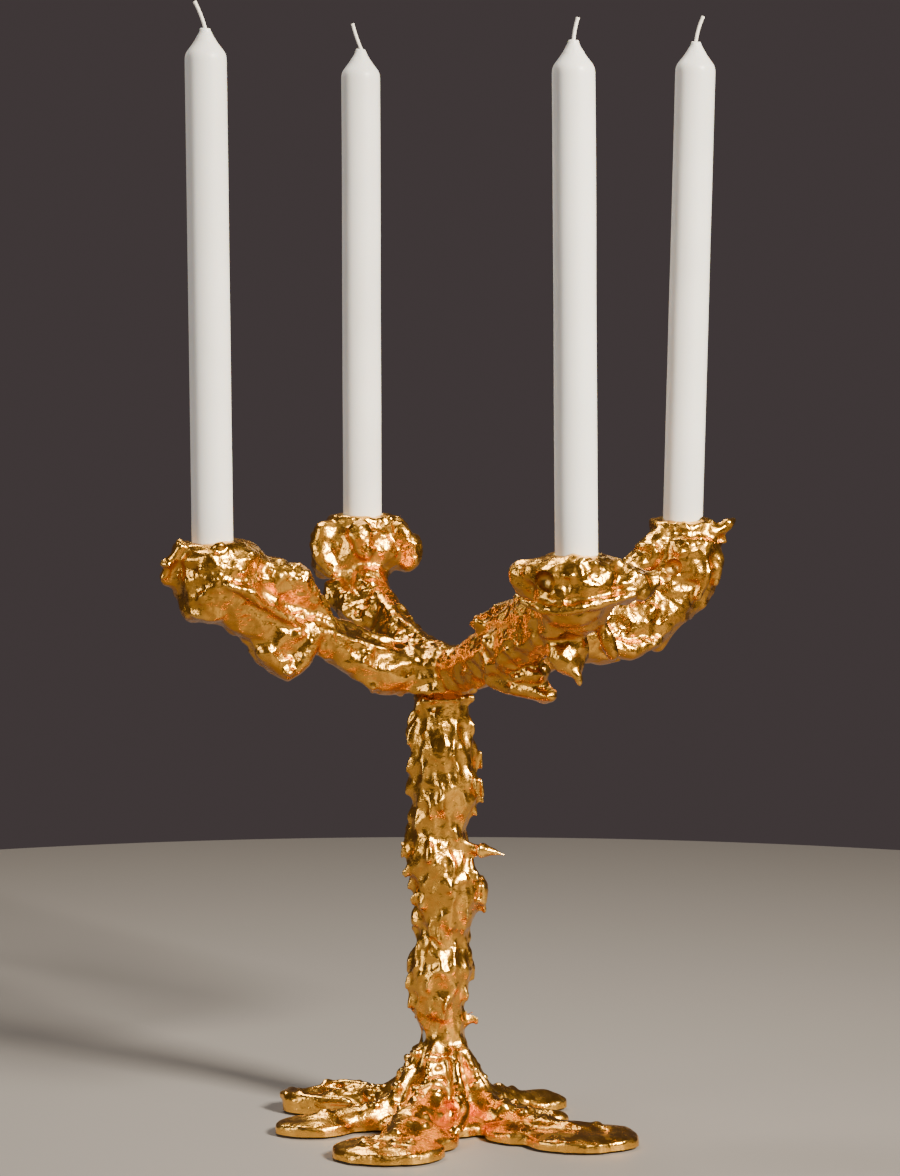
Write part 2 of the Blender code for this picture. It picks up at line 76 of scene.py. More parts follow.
class CastingSettings(bpy.types.PropertyGroup):
    """Sizes and colours of the gilded castings."""
    rough_skin: FloatProperty(
        name="Rough skin", description="Cell of the first fused skin",
        default=0.0010, min=0.0005, unit="LENGTH")
    fine_skin: FloatProperty(
        name="Fine skin", description="Cell of the finished skin",
        default=0.00062, min=0.0004, unit="LENGTH")
    crumple: FloatProperty(
        name="Crumple", description="Depth of the broad hollows",
        default=0.0021, min=0.0, unit="LENGTH")
    gold: FloatVectorProperty(
        name="Gold", description="Colour of the polished plating",
        default=(0.94, 0.475, 0.075), subtype="COLOR", min=0.0, max=1.0)
    # painted shade: the darker gold that the hollows get, tinted yellower than the plain gold to
    # offset the red of rendered bounce light
    hollow_shade_gold: FloatVectorProperty(
        name="Hollow shade gold", description="Colour of the plating in the recesses",
        default=(0.74, 0.46, 0.11), subtype="COLOR", min=0.0, max=1.0)
    # painted shade: the brown that the downward-facing skin gets
    underside_shade_gold: FloatVectorProperty(
        name="Underside shade gold", description="Colour of the painted shade on the undersides",
        default=(0.36, 0.13, 0.018), subtype="COLOR", min=0.0, max=1.0)


class CandleSettings(bpy.types.PropertyGroup):
    """Sizes and colours of the candles."""
    wobble: FloatProperty(
        name="Wobble", description="How far the moulded wax strays from a true cylinder",
        default=0.00012, min=0.0, unit="LENGTH")
    wick_radius: FloatProperty(
        name="Wick radius", description="Radius of the braided wick",
        default=0.00095, min=0.0005, unit="LENGTH")
    wax: FloatVectorProperty(
        name="Wax", description="Colour of the wax",
        default=(0.80, 0.79, 0.76), subtype="COLOR", min=0.0, max=1.0)
    sides: IntProperty(
        name="Sides", description="Facets round the candle", default=96, min=24)


class StageSettings(bpy.types.PropertyGroup):
    """Floor, light and camera."""
    floor: FloatVectorProperty(
        name="Floor", description="Colour of the floor",
        default=(0.22, 0.205, 0.195), subtype="COLOR", min=0.0, max=1.0)
    surroundings: FloatVectorProperty(
        name="Surroundings", description="Colour of the room's soft light",
        default=(0.058, 0.046, 0.047), subtype="COLOR", min=0.0, max=1.0)
    camera_distance: FloatProperty(
        name="Camera distance", description="Camera to the stem's axis",
        default=2.193, unit="LENGTH")
    camera_height: FloatProperty(
        name="Camera height", description="Camera above the floor",
        default=0.505, unit="LENGTH")
    camera_pitch: FloatProperty(
        name="Camera pitch", description="How far the camera looks down",
        default=math.radians(5.47), subtype="ANGLE")


# ---- noise

GOLDEN_SHARE = 0.618            # steps of this share fall evenly round any circle
GOLDEN_ANGLE = 2.3998


def golden(index):
    """A share from 0 to 1 that jumps about evenly as the index grows."""
    return (index * GOLDEN_SHARE) % 1


def ramp(value, start, width):
    """0 up to the start, 1 from a width further on."""
    return np.clip((value - start) / width, 0, 1)


def random_of(cells, salt):
    """A fixed random number from 0 to 1 for each whole-number cell."""
    mixed = cells[:, 0] * 73856093 ^ cells[:, 1] * 19349663 ^ cells[:, 2] * 83492791
    mixed = (mixed ^ (salt * 40503 + 12345)) & 0x7FFFFFFF
    mixed = (mixed ^ (mixed >> 15)) * 2246822519 & 0x7FFFFFFF
    mixed = (mixed ^ (mixed >> 13)) * 3266489917 & 0x7FFFFFFF
    return ((mixed ^ (mixed >> 16)) & 0xFFFFF) / float(0x100000)


def soft_noise(points, size, salt):
    """Smooth noise from -1 to 1 with features of about this size."""
    spots = points / size
    base = np.floor(spots).astype(np.int64)
    part = spots - base
    part = part * part * part * (part * (part * 6 - 15) + 10)
    total = np.zeros(len(points))
    for corner in range(8):
        step = np.array([corner & 1, corner >> 1 & 1, corner >> 2 & 1])
        weight = np.prod(np.where(step, part, 1 - part), axis=1)
        total += weight * random_of(base + step, salt)
    return total * 2 - 1


def layered_noise(points, size, salt, layers=3):
    """Soft noise with finer and fainter noise added on top."""
    total = np.zeros(len(points))
    for layer in range(layers):
        total += soft_noise(points, size / 2 ** layer, salt + layer) / 2 ** layer
    return total


def patches(points, size, salt, low, high):
    """Soft-edged patches, 0 outside and 1 inside."""
    level = (layered_noise(points, size, salt, 2) - low) / (high - low)
    level = np.clip(level, 0, 1)
    return level * level * (3 - 2 * level)


def warped(points, size, amount, salt):
    """The points pushed about by smooth noise, so that patterns lose their order."""
    shifts = [layered_noise(points, size, salt + 10 * axis, 2) for axis in range(3)]
    return points + amount * np.stack(shifts, axis=1)


def bowls(points, size, salt, spread=1.15):
    """Overlapping round bowls, 1 at a bowl's centre, with sharp edges where bowls meet."""
    spots = points / size
    base = np.floor(spots).astype(np.int64)
    deepest = np.zeros(len(points))
    for index in range(27):
        cell = base + np.array([index % 3 - 1, index // 3 % 3 - 1, index // 9 - 1])
        centre = cell + np.stack([random_of(cell, salt + k) for k in range(3)], axis=1)
        weight = 0.45 + 0.55 * random_of(cell, salt + 3)
        away = np.sum((spots - centre) ** 2, axis=1)
        deepest = np.maximum(deepest, weight * (1 - away / (spread * weight) ** 2))
    return deepest


# ---- meshes

def link(name, mesh):
    """A new object with this mesh, in the scene."""
    obj = bpy.data.objects.new(name, mesh)
    bpy.context.scene.collection.objects.link(obj)
    return obj


def points_of(mesh):
    """The mesh's points in millimetres."""
    flat = np.empty(len(mesh.vertices) * 3)
    mesh.vertices.foreach_get("co", flat)
    return flat.reshape(-1, 3) / MM


def normals_of(mesh):
    flat = np.empty(len(mesh.vertices) * 3)
    mesh.vertex_normals.foreach_get("vector", flat)
    return flat.reshape(-1, 3)


def faces_of(mesh):
    """All faces, as mesh_from takes them."""
    loops = np.empty(len(mesh.loops), np.int32)
    mesh.loops.foreach_get("vertex_index", loops)
    sizes = np.empty(len(mesh.polygons), np.int32)
    mesh.polygons.foreach_get("loop_total", sizes)
    return loops, sizes


def edges_of(mesh):
    ends = np.empty(len(mesh.edges) * 2, np.int32)
    mesh.edges.foreach_get("vertices", ends)
    return ends[0::2], ends[1::2]


def set_points(mesh, points):
    mesh.vertices.foreach_set("co", (points * MM).ravel())
    mesh.update()


def mesh_from(name, points, loops, sizes):
    """A mesh of faces given as corner numbers in turn and each face's number of corners."""
    mesh = bpy.data.meshes.new(name)
    mesh.vertices.add(len(points))
    mesh.vertices.foreach_set("co", (points * MM).ravel())
    mesh.loops.add(len(loops))
    mesh.loops.foreach_set("vertex_index", loops.astype(np.int32))
    mesh.polygons.add(len(sizes))
    starts = np.concatenate([[0], np.cumsum(sizes)[:-1]])
    mesh.polygons.foreach_set("loop_start", starts.astype(np.int32))
    mesh.update(calc_edges=True)
    return mesh


def bake(obj):
    """Turn the object's modifiers into its mesh."""
    graph = bpy.context.evaluated_depsgraph_get()
    graph.update()
    mesh = bpy.data.meshes.new_from_object(obj.evaluated_get(graph))
    old = obj.data
    obj.modifiers.clear()
    obj.data = mesh
    bpy.data.meshes.remove(old)


def fuse(obj, cell, smoothing):
    """Make one skin of everything in the object."""
    remesh = obj.modifiers.new("fuse", "REMESH")
    remesh.mode = "VOXEL"
    remesh.voxel_size = cell
    if smoothing:
        ease = obj.modifiers.new("ease", "SMOOTH")
        ease.factor = 0.5
        ease.iterations = smoothing
    bake(obj)
    keep_largest(obj)


def island_labels(mesh):
    """A number for each vertex, the same all over one island."""
    first, second = edges_of(mesh)
    labels = np.arange(len(mesh.vertices))
    while True:
        low = np.minimum(labels[first], labels[second])
        lower = labels.copy()
        np.minimum.at(lower, labels[first], low)
        np.minimum.at(lower, labels[second], low)
        lower = lower[lower[lower[lower]]]
        lower = np.minimum(lower, lower[labels])
        if np.array_equal(lower, labels):
            return labels
        labels = lower


def part_of(name, mesh, labels, label):
    """The one island with this label, as a mesh of its own."""
    loops, sizes = faces_of(mesh)
    starts = np.concatenate([[0], np.cumsum(sizes)[:-1]])
    wanted = labels[loops[starts]] == label
    own = labels == label
    renumber = np.cumsum(own) - 1
    kept = renumber[loops[np.repeat(wanted, sizes)]]
    return mesh_from(name, points_of(mesh)[own], kept, sizes[wanted])


def keep_largest(obj):
    """Drop the loose scraps and sealed bubbles that a fuse leaves."""
    labels = island_labels(obj.data)
    found, sizes = np.unique(labels, return_counts=True)
    if len(found) > 1:
        old = obj.data
        obj.data = part_of(obj.name, old, labels, found[np.argmax(sizes)])
        bpy.data.meshes.remove(old)


def split(obj, place_name, smallest=400):
    """Make an object of each island but the crumbs; place_name names it from its middle."""
    labels = island_labels(obj.data)
    points = points_of(obj.data)
    made = {}
    for label, size in zip(*np.unique(labels, return_counts=True)):
        if size < smallest:
            continue
        name = place_name(points[labels == label].mean(axis=0))
        if name in made:
            raise ValueError(f"two islands belong at {name}; the second has {size} points")
        made[name] = link(name, part_of(name, obj.data, labels, label))
    bpy.data.objects.remove(obj, do_unlink=True)
    return made


# ---- closed shapes

class Heap:
    """Closed shapes gathered as arrays, in millimetres."""

    def __init__(self):
        self.points = []
        self.loops = []
        self.sizes = []
        self.count = 0

    def add(self, points, loops, sizes):
        self.points.append(points)
        self.loops.append(loops + self.count)
        self.sizes.append(sizes)
        self.count += len(points)

    def add_mesh(self, mesh):
        self.add(points_of(mesh), *faces_of(mesh))

    def mesh(self, name):
        return mesh_from(name, np.concatenate(self.points), np.concatenate(self.loops),
                         np.concatenate(self.sizes))


def unit_ball():
    bm = bmesh.new()
    bmesh.ops.create_icosphere(bm, subdivisions=3, radius=1.0)
    mesh = bpy.data.meshes.new("unit_ball")
    bm.to_mesh(mesh)
    bm.free()
    ball = points_of(mesh) * MM, *faces_of(mesh)
    bpy.data.meshes.remove(mesh)
    return ball


BALL = unit_ball()


def add_ball(heap, centre, radii, flatness=2.0, turn=None):
    """An ellipsoid, or with more flatness a lobe with upright sides."""
    points, loops, sizes = BALL
    across = np.hypot(points[:, 0], points[:, 1])
    reach = (across ** flatness + np.abs(points[:, 2]) ** flatness) ** (-1.0 / flatness)
    local = points * np.array(radii) * reach[:, None]
    if turn is not None:
        local = local @ np.array(turn).T
    heap.add(local + np.array(centre), loops, sizes)


def smooth_run(points):
    """Close samples (x, y, z, radius) along a curve through the points."""
    samples = []
    count = len(points)
    for index in range(count - 1):
        p0, p1, p2, p3 = (Vector(points[min(max(index + k, 0), count - 1)])
                          for k in (-1, 0, 1, 2))
        span = (p2.xyz - p1.xyz).length
        steps = max(1, math.ceil(span / (0.35 * min(p1[3], p2[3]))))
        for step in range(steps):
            t = step / steps
            samples.append(0.5 * (2 * p1 + (p2 - p0) * t
                                  + (2 * p0 - 5 * p1 + 4 * p2 - p3) * t * t
                                  + (3 * p1 - p0 - 3 * p2 + p3) * t ** 3))
    samples.append(Vector(points[-1]))
    return samples


def add_run(heap, points, squash=1.0):
    """A run of beads, flattened sideways across the run when squash is under 1."""
    samples = smooth_run(points)
    ahead = (samples[-1] - samples[0]).xyz.normalized()
    turn = ahead.to_track_quat("Z", "Y").to_matrix()
    for sample in samples:
        radius = max(sample[3], 0.5)
        add_ball(heap, sample.xyz, (radius, radius * squash, radius), turn=turn)


def level_ring(sides, radius, height=0.0):
    """Points round the origin, counted the way the angles grow."""
    angles = np.arange(sides) * math.tau / sides
    return np.stack([np.cos(angles) * radius, np.sin(angles) * radius,
                     np.full(sides, height)], axis=1)


def ring_faces(count, sides, joined=False):
    """Walls from ring to ring, with a cap at both ends unless the last meets the first."""
    ring, side = np.divmod(np.arange((count if joined else count - 1) * sides), sides)
    low, high = ring * sides, (ring + 1) % count * sides
    after = (side + 1) % sides
    loops = [np.stack([low + side, low + after, high + after, high + side], axis=1).ravel()]
    sizes = [4] * len(ring)
    if not joined:
        cap = np.arange(sides)
        loops += [cap[::-1], cap + (count - 1) * sides]
        sizes += [sides, sides]
    return np.concatenate(loops), np.array(sizes)


def ringed(name, rings, joined=False):
    """An object whose skin runs from ring to ring."""
    faces = ring_faces(len(rings), len(rings[0]), joined)
    return link(name, mesh_from(name, np.concatenate(rings), *faces))


def add_rod(heap, radius, start, end, sides=24):
    """A closed cylinder between two points."""
    start = np.array(start, float)
    end = np.array(end, float)
    turn = np.array(Vector(end - start).to_track_quat("Z", "Y").to_matrix())
    ring = level_ring(sides, radius) @ turn.T
    heap.add(np.concatenate([ring + start, ring + end]), *ring_faces(2, sides))


def add_upright(heap, radius, low, high, x=0, sides=24):
    """A rod standing on the stem's axis, or beside it, between two levels."""
    add_rod(heap, radius, (x, 0, low), (x, 0, high), sides)


def add_slab(heap, centre, across, height, thickness, direction):
    """A thin block square to the direction."""
    ahead = np.array(direction) * thickness / 2
    aside = np.array((-direction[1], direction[0], 0)) * across / 2
    up = np.array((0, 0, height / 2))
    corners = [np.array(centre) + a * ahead + s * aside + u * up
               for u in (-1, 1) for a, s in ((-1, -1), (1, -1), (1, 1), (-1, 1))]
    loops = np.array([3, 2, 1, 0, 4, 5, 6, 7, 0, 1, 5, 4, 1, 2, 6, 5, 2, 3, 7, 6, 3, 0, 4, 7])
    heap.add(np.array(corners), loops, np.array([4] * 6))


def stick_on(obj, heap):
    """Put more shapes in the object; the next fuse makes one skin of them."""
    heap.add_mesh(obj.data)
    old = obj.data
    obj.data = heap.mesh(obj.name)
    bpy.data.meshes.remove(old)


def cut(obj, heap):
    """Take the closed shapes in the heap away from the object."""
    cutter = link("cutter", heap.mesh("cutter"))
    trim = obj.modifiers.new("trim", "BOOLEAN")
    trim.operation = "DIFFERENCE"
    trim.solver = "MANIFOLD"
    trim.object = cutter
    bake(obj)
    bpy.data.objects.remove(cutter, do_unlink=True)


# ---- frame places

def node_mesh(name):
    return frame["nodes"][name].data


def node_points(name):
    return points_of(node_mesh(name))


def candle_axis(name):
    """The candle's foot and its direction, from its solid and its lift joint."""
    lift = next(joint for joint in frame["joints"] if joint["name"] == "candle_lift_" + name)
    axis = Vector(lift["axis"]).normalized()
    points = node_points("candle_" + name)
    heights = points @ np.array(axis)
    low = points[heights < heights.min() + 0.5]
    return Vector(low.mean(axis=0)), axis


def rod_span(name):
    """Centres of the two ends of a rod-like node."""
    points = node_points(name)
    centre = points.mean(axis=0)
    axis = np.linalg.svd(points - centre, full_matrices=False)[2][0]
    along = (points - centre) @ axis
    return Vector(centre + axis * along.min()), Vector(centre + axis * along.max())


def upright_span(name):
    """The rod's lower end, then its upper end."""
    return sorted(rod_span(name), key=lambda end: end.z)


def arm_top(name):
    return node_points("arm_" + name)[:, 2].max()


def arm_direction(name):
    """Level direction from the stem to the arm, along its stud."""
    first, last = rod_span("stud_" + name)
    if last.xy.length < first.xy.length:
        first, last = last, first
    return Vector(((last - first).x, (last - first).y, 0)).normalized()


HUB_REACH = 20.0                # stem axis to each arm's joint face
STUD_LEVEL = 252.0
COLLAR_LEVEL = 238.5            # hub on stem
NECK_LEVEL = 45.0               # stem on foot
FOOT_LEVEL = 1.5                # underside of the foot
LOBE_LEVEL = 9.0                # tops of the foot's lobes
CANDLE_RADIUS = 11.0
SOCKET_CLEARANCE = 0.3
TIE_ROD_RADIUS = 4.0
STUD_RADIUS = 3.0
PIN_RADIUS = 2.0
BORE_CLEARANCE = 0.35
STEM_LEAN = 1                   # how far the stem's skin stands off its axis, to the right


# ---- sculpting

def mark_hollows(mesh, rounds=16, reach=0.7):
    """Store how hollow (up to 1) or proud (down to -1) the skin is at each vertex."""
    first, second = edges_of(mesh)
    count = len(mesh.vertices)
    share = np.bincount(first, minlength=count) + np.bincount(second, minlength=count)
    points = points_of(mesh)
    eased = points.copy()
    for _ in range(rounds):
        for axis in range(3):
            column = eased[:, axis]
            total = (np.bincount(first, column[second], count)
                     + np.bincount(second, column[first], count))
            eased[:, axis] = 0.4 * column + 0.6 * total / np.maximum(share, 1)
    normals = normals_of(mesh)
    depth = np.sum((eased - points) * normals, axis=1)
    layer = mesh.attributes.new("hollow", "FLOAT", "POINT")
    layer.data.foreach_set("value", np.clip(depth / reach, -1, 1).astype(np.float32))
    # painted shade on the undersides: a mask that rises on downward-facing and side-facing skin,
    # fading out below the stem's neck
    underside_shade = np.clip(0.2 - 0.9 * normals[:, 2], 0, 1) * np.clip(points[:, 2] / 30 - 0.6, 0, 1)
    layer = mesh.attributes.new("painted_underside_shade", "FLOAT", "POINT")
    layer.data.foreach_set("value", underside_shade.astype(np.float32))


def scatter(points, normals, spacing, salt):
    """Evenly strewn picks from the points, one to a cell of this spacing."""
    shifted = points + 0.35 * spacing * np.stack(
        [soft_noise(points, spacing * 2, salt + k) for k in range(3)], axis=1)
    cells = np.floor(shifted / spacing).astype(np.int64)
    keys = (cells[:, 0] * 4001 + cells[:, 1]) * 4001 + cells[:, 2]
    _, picks = np.unique(keys, return_index=True)
    chance = random_of(cells[picks], salt)
    return points[picks], normals[picks], chance


def push(obj, amounts):
    """Move the skin along its normals by these amounts in millimetres."""
    mesh = obj.data
    set_points(mesh, points_of(mesh) + normals_of(mesh) * amounts[:, None])


# ---- crown

# Runs of beads: centre and radius of each bead that the run passes through.
CROWN_RUNS = (
    # front left arm: end flap, hooked leaf, hanging drips, ridges along the top
    ((-138, -58, 322, 3.5), (-143, -56, 314, 4.0), (-147, -53, 305, 3.0)),
    ((-112, -66, 303, 3.0), (-101, -62, 298, 4.5), (-95, -57, 291, 3.2)),
    ((-101, -60, 297, 4.0), (-84, -46, 284, 4.2), (-70, -34, 276, 3.0)),
    ((-92, -40, 264, 9.0), (-86, -38, 258, 8.5), (-83, -38, 254, 6.0)),
    ((-72, -32, 268, 9.0), (-76, -34, 260, 8.5), (-79, -36, 255, 6.0)),
    ((-64, -32, 276, 4.0), (-46, -24, 268, 3.6), (-30, -18, 263, 3.0)),
    ((-56, -12, 277, 3.5), (-40, -8, 270, 3.4), (-22, -4, 266, 2.6)),
    ((-44, -20, 250, 5.0), (-38, -20, 244, 4.0)),
    # front right arm: saucer's lower lip, fins, bulb with its tip, hanging drip
    ((42, -138, 301, 3.2), (58, -149, 298, 3.6), (76, -148, 300, 3.4), (98, -138, 305, 3.0)),
    ((18, -40, 280, 4.0), (31, -60, 289, 4.4), (44, -92, 297, 4.6)),
    ((20, -58, 281, 4.0), (24, -52, 271, 3.2), (26, -46, 262, 2.4)),
    ((62, -112, 276, 9.5), (64, -116, 271, 10.5), (65, -116, 268, 9.0)),
    ((67, -119, 266, 5.0), (70, -121, 261, 3.6), (71, -121, 257, 2.4)),
    ((22, -46, 257, 8.0), (36, -64, 257, 9.0), (50, -82, 258, 8.0)),
    ((80, -122, 292, 5.0), (86, -122, 278, 5.4), (88, -120, 272, 4.0)),
    ((28, -62, 254, 7.0), (44, -76, 250, 7.5), (56, -84, 247, 5.5)),
    # back right arm: wing under the cup, drips down its outer side, spike with droplets
    ((120, 46, 317, 8.0), (110, 42, 306, 9.0), (94, 34, 296, 5.0)),
    ((150, 50, 318, 4.0), (154, 50, 306, 4.0), (152, 50, 294, 3.6)),
    ((144, 42, 312, 4.0), (146, 42, 298, 4.6), (142, 42, 288, 4.0)),
    ((147, 52, 321, 6.0), (156, 54, 324, 5.0), (161, 55, 327, 2.6)),
    ((156, 54, 322, 2.6), (158, 54, 316, 2.2)),
    ((92, 24, 262, 6.0), (104, 28, 258, 6.0), (118, 36, 262, 5.0)),
    # back left arm: ridges down the cup, lip on its right, ridge along the neck
    ((-66, 112, 315, 9.0), (-68, 110, 306, 8.0), (-62, 106, 296, 5.0)),
    ((-46, 104, 316, 8.0), (-44, 102, 308, 7.0)),
    ((-24, 114, 316, 7.0), (-18, 116, 306, 8.0), (-20, 116, 297, 5.0)),
    ((-36, 84, 283, 5.0), (-26, 62, 274, 4.6), (-16, 42, 268, 4.0)),
    # rough collar under the hub
    ((-17, -6, 241, 3.2), (-8, -17, 241, 3.4), (8, -17, 241, 3.2), (17, -6, 241, 3.4)),
)

# Round hollows: centre and radius.
CROWN_PITS = (
    ((52, -147, 312), 6.0),
    ((84, -140, 288), 6.0),
    ((-58, 96, 307), 4.5),
    ((128, 36, 303), 5.0),
)


# Half widths of the blocky cup around each candle, across and front to back.
CUP_CAPS = {"front_left": (21, 18), "front_right": (19, 16),
            "back_left": (20, 17), "back_right": (18, 17)}


def crown_blank():
    """The plain hub and arms with their bores filled, and the drips and ridges stuck on."""
    heap = Heap()
    heap.add_mesh(node_mesh("crown_hub"))
    add_upright(heap, 17.5, COLLAR_LEVEL - 6, COLLAR_LEVEL + 8)
    add_upright(heap, TIE_ROD_RADIUS + 2, COLLAR_LEVEL, 260)
    pin_low, pin_high = rod_span("crown_pin")
    add_rod(heap, PIN_RADIUS + 1, (pin_low.x, pin_low.y, COLLAR_LEVEL + 0.2), pin_high)
    for name in ARMS:
        heap.add_mesh(node_mesh("arm_" + name))
        add_rod(heap, STUD_RADIUS + 1.5, *rod_span("stud_" + name))
        reach = arm_direction(name) * HUB_REACH
        add_ball(heap, (reach.x, reach.y, STUD_LEVEL), (10.5, 10.5, 10.0))
        foot, axis = candle_axis(name)
        deep = arm_top(name) - foot.z
        add_rod(heap, CANDLE_RADIUS + 3, foot - axis * 1.5, foot + axis * (deep - 1.0))
        mouth = foot + axis * (deep - 7.0)
        add_ball(heap, mouth, (*CUP_CAPS[name], 6.4), flatness=6.0)
    for run in CROWN_RUNS:
        add_run(heap, run, squash=0.8)
    for index in range(13):
        angle = index * math.tau / 13
        add_ball(heap, (18 * math.cos(angle), 18 * math.sin(angle), 241.5),
                 (3.6 + 1.2 * golden(index),) * 3)
    return link("crown", heap.mesh("crown"))


def stick_on_nuggets(obj, spacing, salt, size, share, low=0, high=400):
    """Strew small lumps over the upper and outer skin."""
    points, normals, chance = scatter(points_of(obj.data), normals_of(obj.data),
                                      spacing, salt)
    heap = Heap()
    for spot, normal, luck in zip(points, normals, chance):
        if luck > share or normal[2] < -0.3 or not low < spot[2] < high:
            continue
        radius = size * (0.6 + 0.8 * luck / share)
        place = Vector(spot) - Vector(normal) * radius * 0.25
        turn = Vector(normal).to_track_quat("Z", "Y").to_matrix()
        add_ball(heap, place, (radius * 1.35, radius * 0.85, radius), turn=turn)
    stick_on(obj, heap)


def crumple_crown(obj, depth):
    """Broad flat hollows with sharp edges between them, as in crushed foil."""
    points = points_of(obj.data)
    up = np.clip(normals_of(obj.data)[:, 2] * 0.4 + 0.9, 0.6, 1)
    broad = bowls(warped(points, 20, 5.0, 11), 17, 21)
    medium = bowls(warped(points, 10, 2.8, 12), 7.4, 22)
    wild = patches(points, 26, 31, -0.3, 0.3)
    push(obj, depth * (0.5 - broad) + 0.85 * depth * (0.3 - medium) * up * (0.5 + 0.5 * wild))


def crumple_finely(obj, salt, depth):
    """Small creases and a fine cast grain, mostly on the upper and outer skin."""
    points = points_of(obj.data)
    up = np.clip(normals_of(obj.data)[:, 2] * 0.6 + 0.7, 0.25, 1)
    small = bowls(warped(points, 6, 1.6, salt), 4.2, salt + 1)
    tiny = bowls(warped(points, 3, 0.6, salt + 5), 2.0, salt + 2)
    lively = patches(points, 19, salt + 3, -0.15, 0.35)
    sandy = patches(points, 13, salt + 4, 0.0, 0.45)
    push(obj, depth * up * ((0.3 - small) * (0.15 + 0.85 * lively)
                            + 0.45 * (0.3 - tiny) * sandy))


def cut_crown(obj):
    """Cut the joint faces, sockets and fastener holes."""
    for name in ARMS:
        heap = Heap()
        reach = arm_direction(name) * HUB_REACH
        add_slab(heap, (reach.x, reach.y, STUD_LEVEL), 42, 60, JOINT_LINE, arm_direction(name))
        cut(obj, heap)
    heap = Heap()
    add_upright(heap, HUB_REACH + 3, 200, COLLAR_LEVEL + JOINT_LINE / 2, sides=48)
    cut(obj, heap)
    heap = Heap()
    rod_high = upright_span("tie_rod")[1]
    add_upright(heap, TIE_ROD_RADIUS + BORE_CLEARANCE, 230, rod_high.z + BORE_CLEARANCE)
    pin_low, pin_high = upright_span("crown_pin")
    spare = Vector((0, 0, BORE_CLEARANCE))
    add_rod(heap, PIN_RADIUS + BORE_CLEARANCE, pin_low, pin_high + spare)
    for name in ARMS:
        first, last = rod_span("stud_" + name)
        spare = (last - first).normalized() * BORE_CLEARANCE
        add_rod(heap, STUD_RADIUS + BORE_CLEARANCE, first - spare, last + spare)
        foot, axis = candle_axis(name)
        add_rod(heap, CANDLE_RADIUS + SOCKET_CLEARANCE, foot - axis * 0.3,
                foot + axis * 60, sides=96)
    cut(obj, heap)


def dig_pits(obj):
    """Sink the crown's round hollows."""
    for centre, radius in CROWN_PITS:
        heap = Heap()
        add_ball(heap, centre, (radius, radius * 1.3, radius))
        cut(obj, heap)


def crown_part_name(middle):
    """Name a crown island from the place of its middle."""
    if math.hypot(middle[0], middle[1]) < HUB_REACH / 2:
        return "hub_casting"
    direction = Vector((middle[0], middle[1], 0)).normalized()
    best = max(ARMS, key=lambda name: direction.dot(arm_direction(name)))
    return "arm_casting_" + best


# ---- pillar

FOOT_RUNS = (
    # rivulets from the neck down onto the lobes
    ((-4, -13, 44, 3.5), (-8, -22, 25, 3.8), (-16, -42, 12, 4.2), (-26, -66, 8, 4.0)),
    ((6, -14, 42, 3.5), (10, -24, 24, 3.6), (12, -40, 12, 3.8), (8, -58, 8, 3.6)),
    ((12, -9, 42, 3.2), (24, -20, 20, 3.6), (44, -36, 9, 3.8), (64, -46, 7, 3.4)),
    ((-12, -6, 42, 3.2), (-24, -16, 20, 3.6), (-44, -26, 9, 3.6), (-62, -30, 7, 3.2)),
    ((-12, 4, 40, 3.2), (-26, 14, 18, 3.6), (-46, 22, 9, 3.4), (-62, 26, 8, 3.0)),
    ((13, 3, 40, 3.2), (26, 10, 16, 3.4), (42, 22, 8, 3.2)),
    ((14, -3, 38, 3.2), (30, -10, 14, 3.4), (50, -14, 7, 3.0)),
    # curled rims and bumps on the back left lobe
    ((-52, 10, 8, 3.0), (-70, 12, 9, 3.2), (-83, 20, 9, 3.2), (-84, 34, 9, 3.0)),
    ((-70, 44, 8, 3.0), (-56, 50, 10, 3.4), (-42, 42, 10, 3.4)),
    ((-58, 28, 8, 4.0), (-48, 30, 11, 4.4), (-40, 26, 12, 4.0)),
    # soft swell on the right lobe
    ((52, -40, 6, 4.0), (74, -48, 7.5, 4.0), (98, -54, 5.5, 4.0)),
)

# Nodules on the stem: height, direction in degrees (0 right, -90 front), size.
STEM_NODULES = (
    (222, 190, 3.2), (214, 172, 3.8), (206, 4, 3.4), (199, 200, 3.2), (186, -8, 4.4),
    (180, 8, 3.4), (170, 186, 3.0), (156, 184, 4.2), (150, -168, 3.4), (133, -178, 3.4),
    (126, -4, 4.8), (120, 10, 3.6), (112, 184, 3.0), (92, -2, 3.8), (88, 176, 3.6),
    (78, 190, 3.4), (70, 6, 3.2), (64, 182, 2.6), (232, -140, 2.8), (196, -60, 3.6),
    (176, -110, 3.8), (144, -70, 3.6), (108, -120, 3.4), (98, -50, 3.4), (140, -30, 3.6),
)
SPIRAL_NODULES = 50
TWIG = ((14, -8, 155, 5.0), (22, -9, 152.5, 3.6), (29, -9, 151, 2.8), (36, -9, 149, 1.7))


def pillar_blank():
    """The plain foot and stem with their bores filled and rivulets stuck on."""
    heap = Heap()
    for drop in (0, 2.2, 4.4, 6.0):
        heap.add(node_points("foot") - (0, 0, drop), *faces_of(node_mesh("foot")))
    heap.add_mesh(node_mesh("stem"))
    add_upright(heap, 9.5, 14, COLLAR_LEVEL - 1)
    add_upright(heap, 15.5, COLLAR_LEVEL - 10, COLLAR_LEVEL + 6, STEM_LEAN)
    add_upright(heap, 17.0, -1, 15)
    add_upright(heap, 13.2, NECK_LEVEL - 6, NECK_LEVEL + 6, STEM_LEAN)
    for run in FOOT_RUNS:
        add_run(heap, run)
    add_run(heap, TWIG)
    for index in range(17):
        angle = index * math.tau / 17
        size = 2.6 + 1.1 * golden(index)
        reach = 16.0 + 1.2 * math.sin(3 * angle + 1)
        place = (reach * math.cos(angle) + STEM_LEAN, reach * math.sin(angle), 235.6)
        add_ball(heap, place, (size,) * 3)
    return link("pillar", heap.mesh("pillar"))


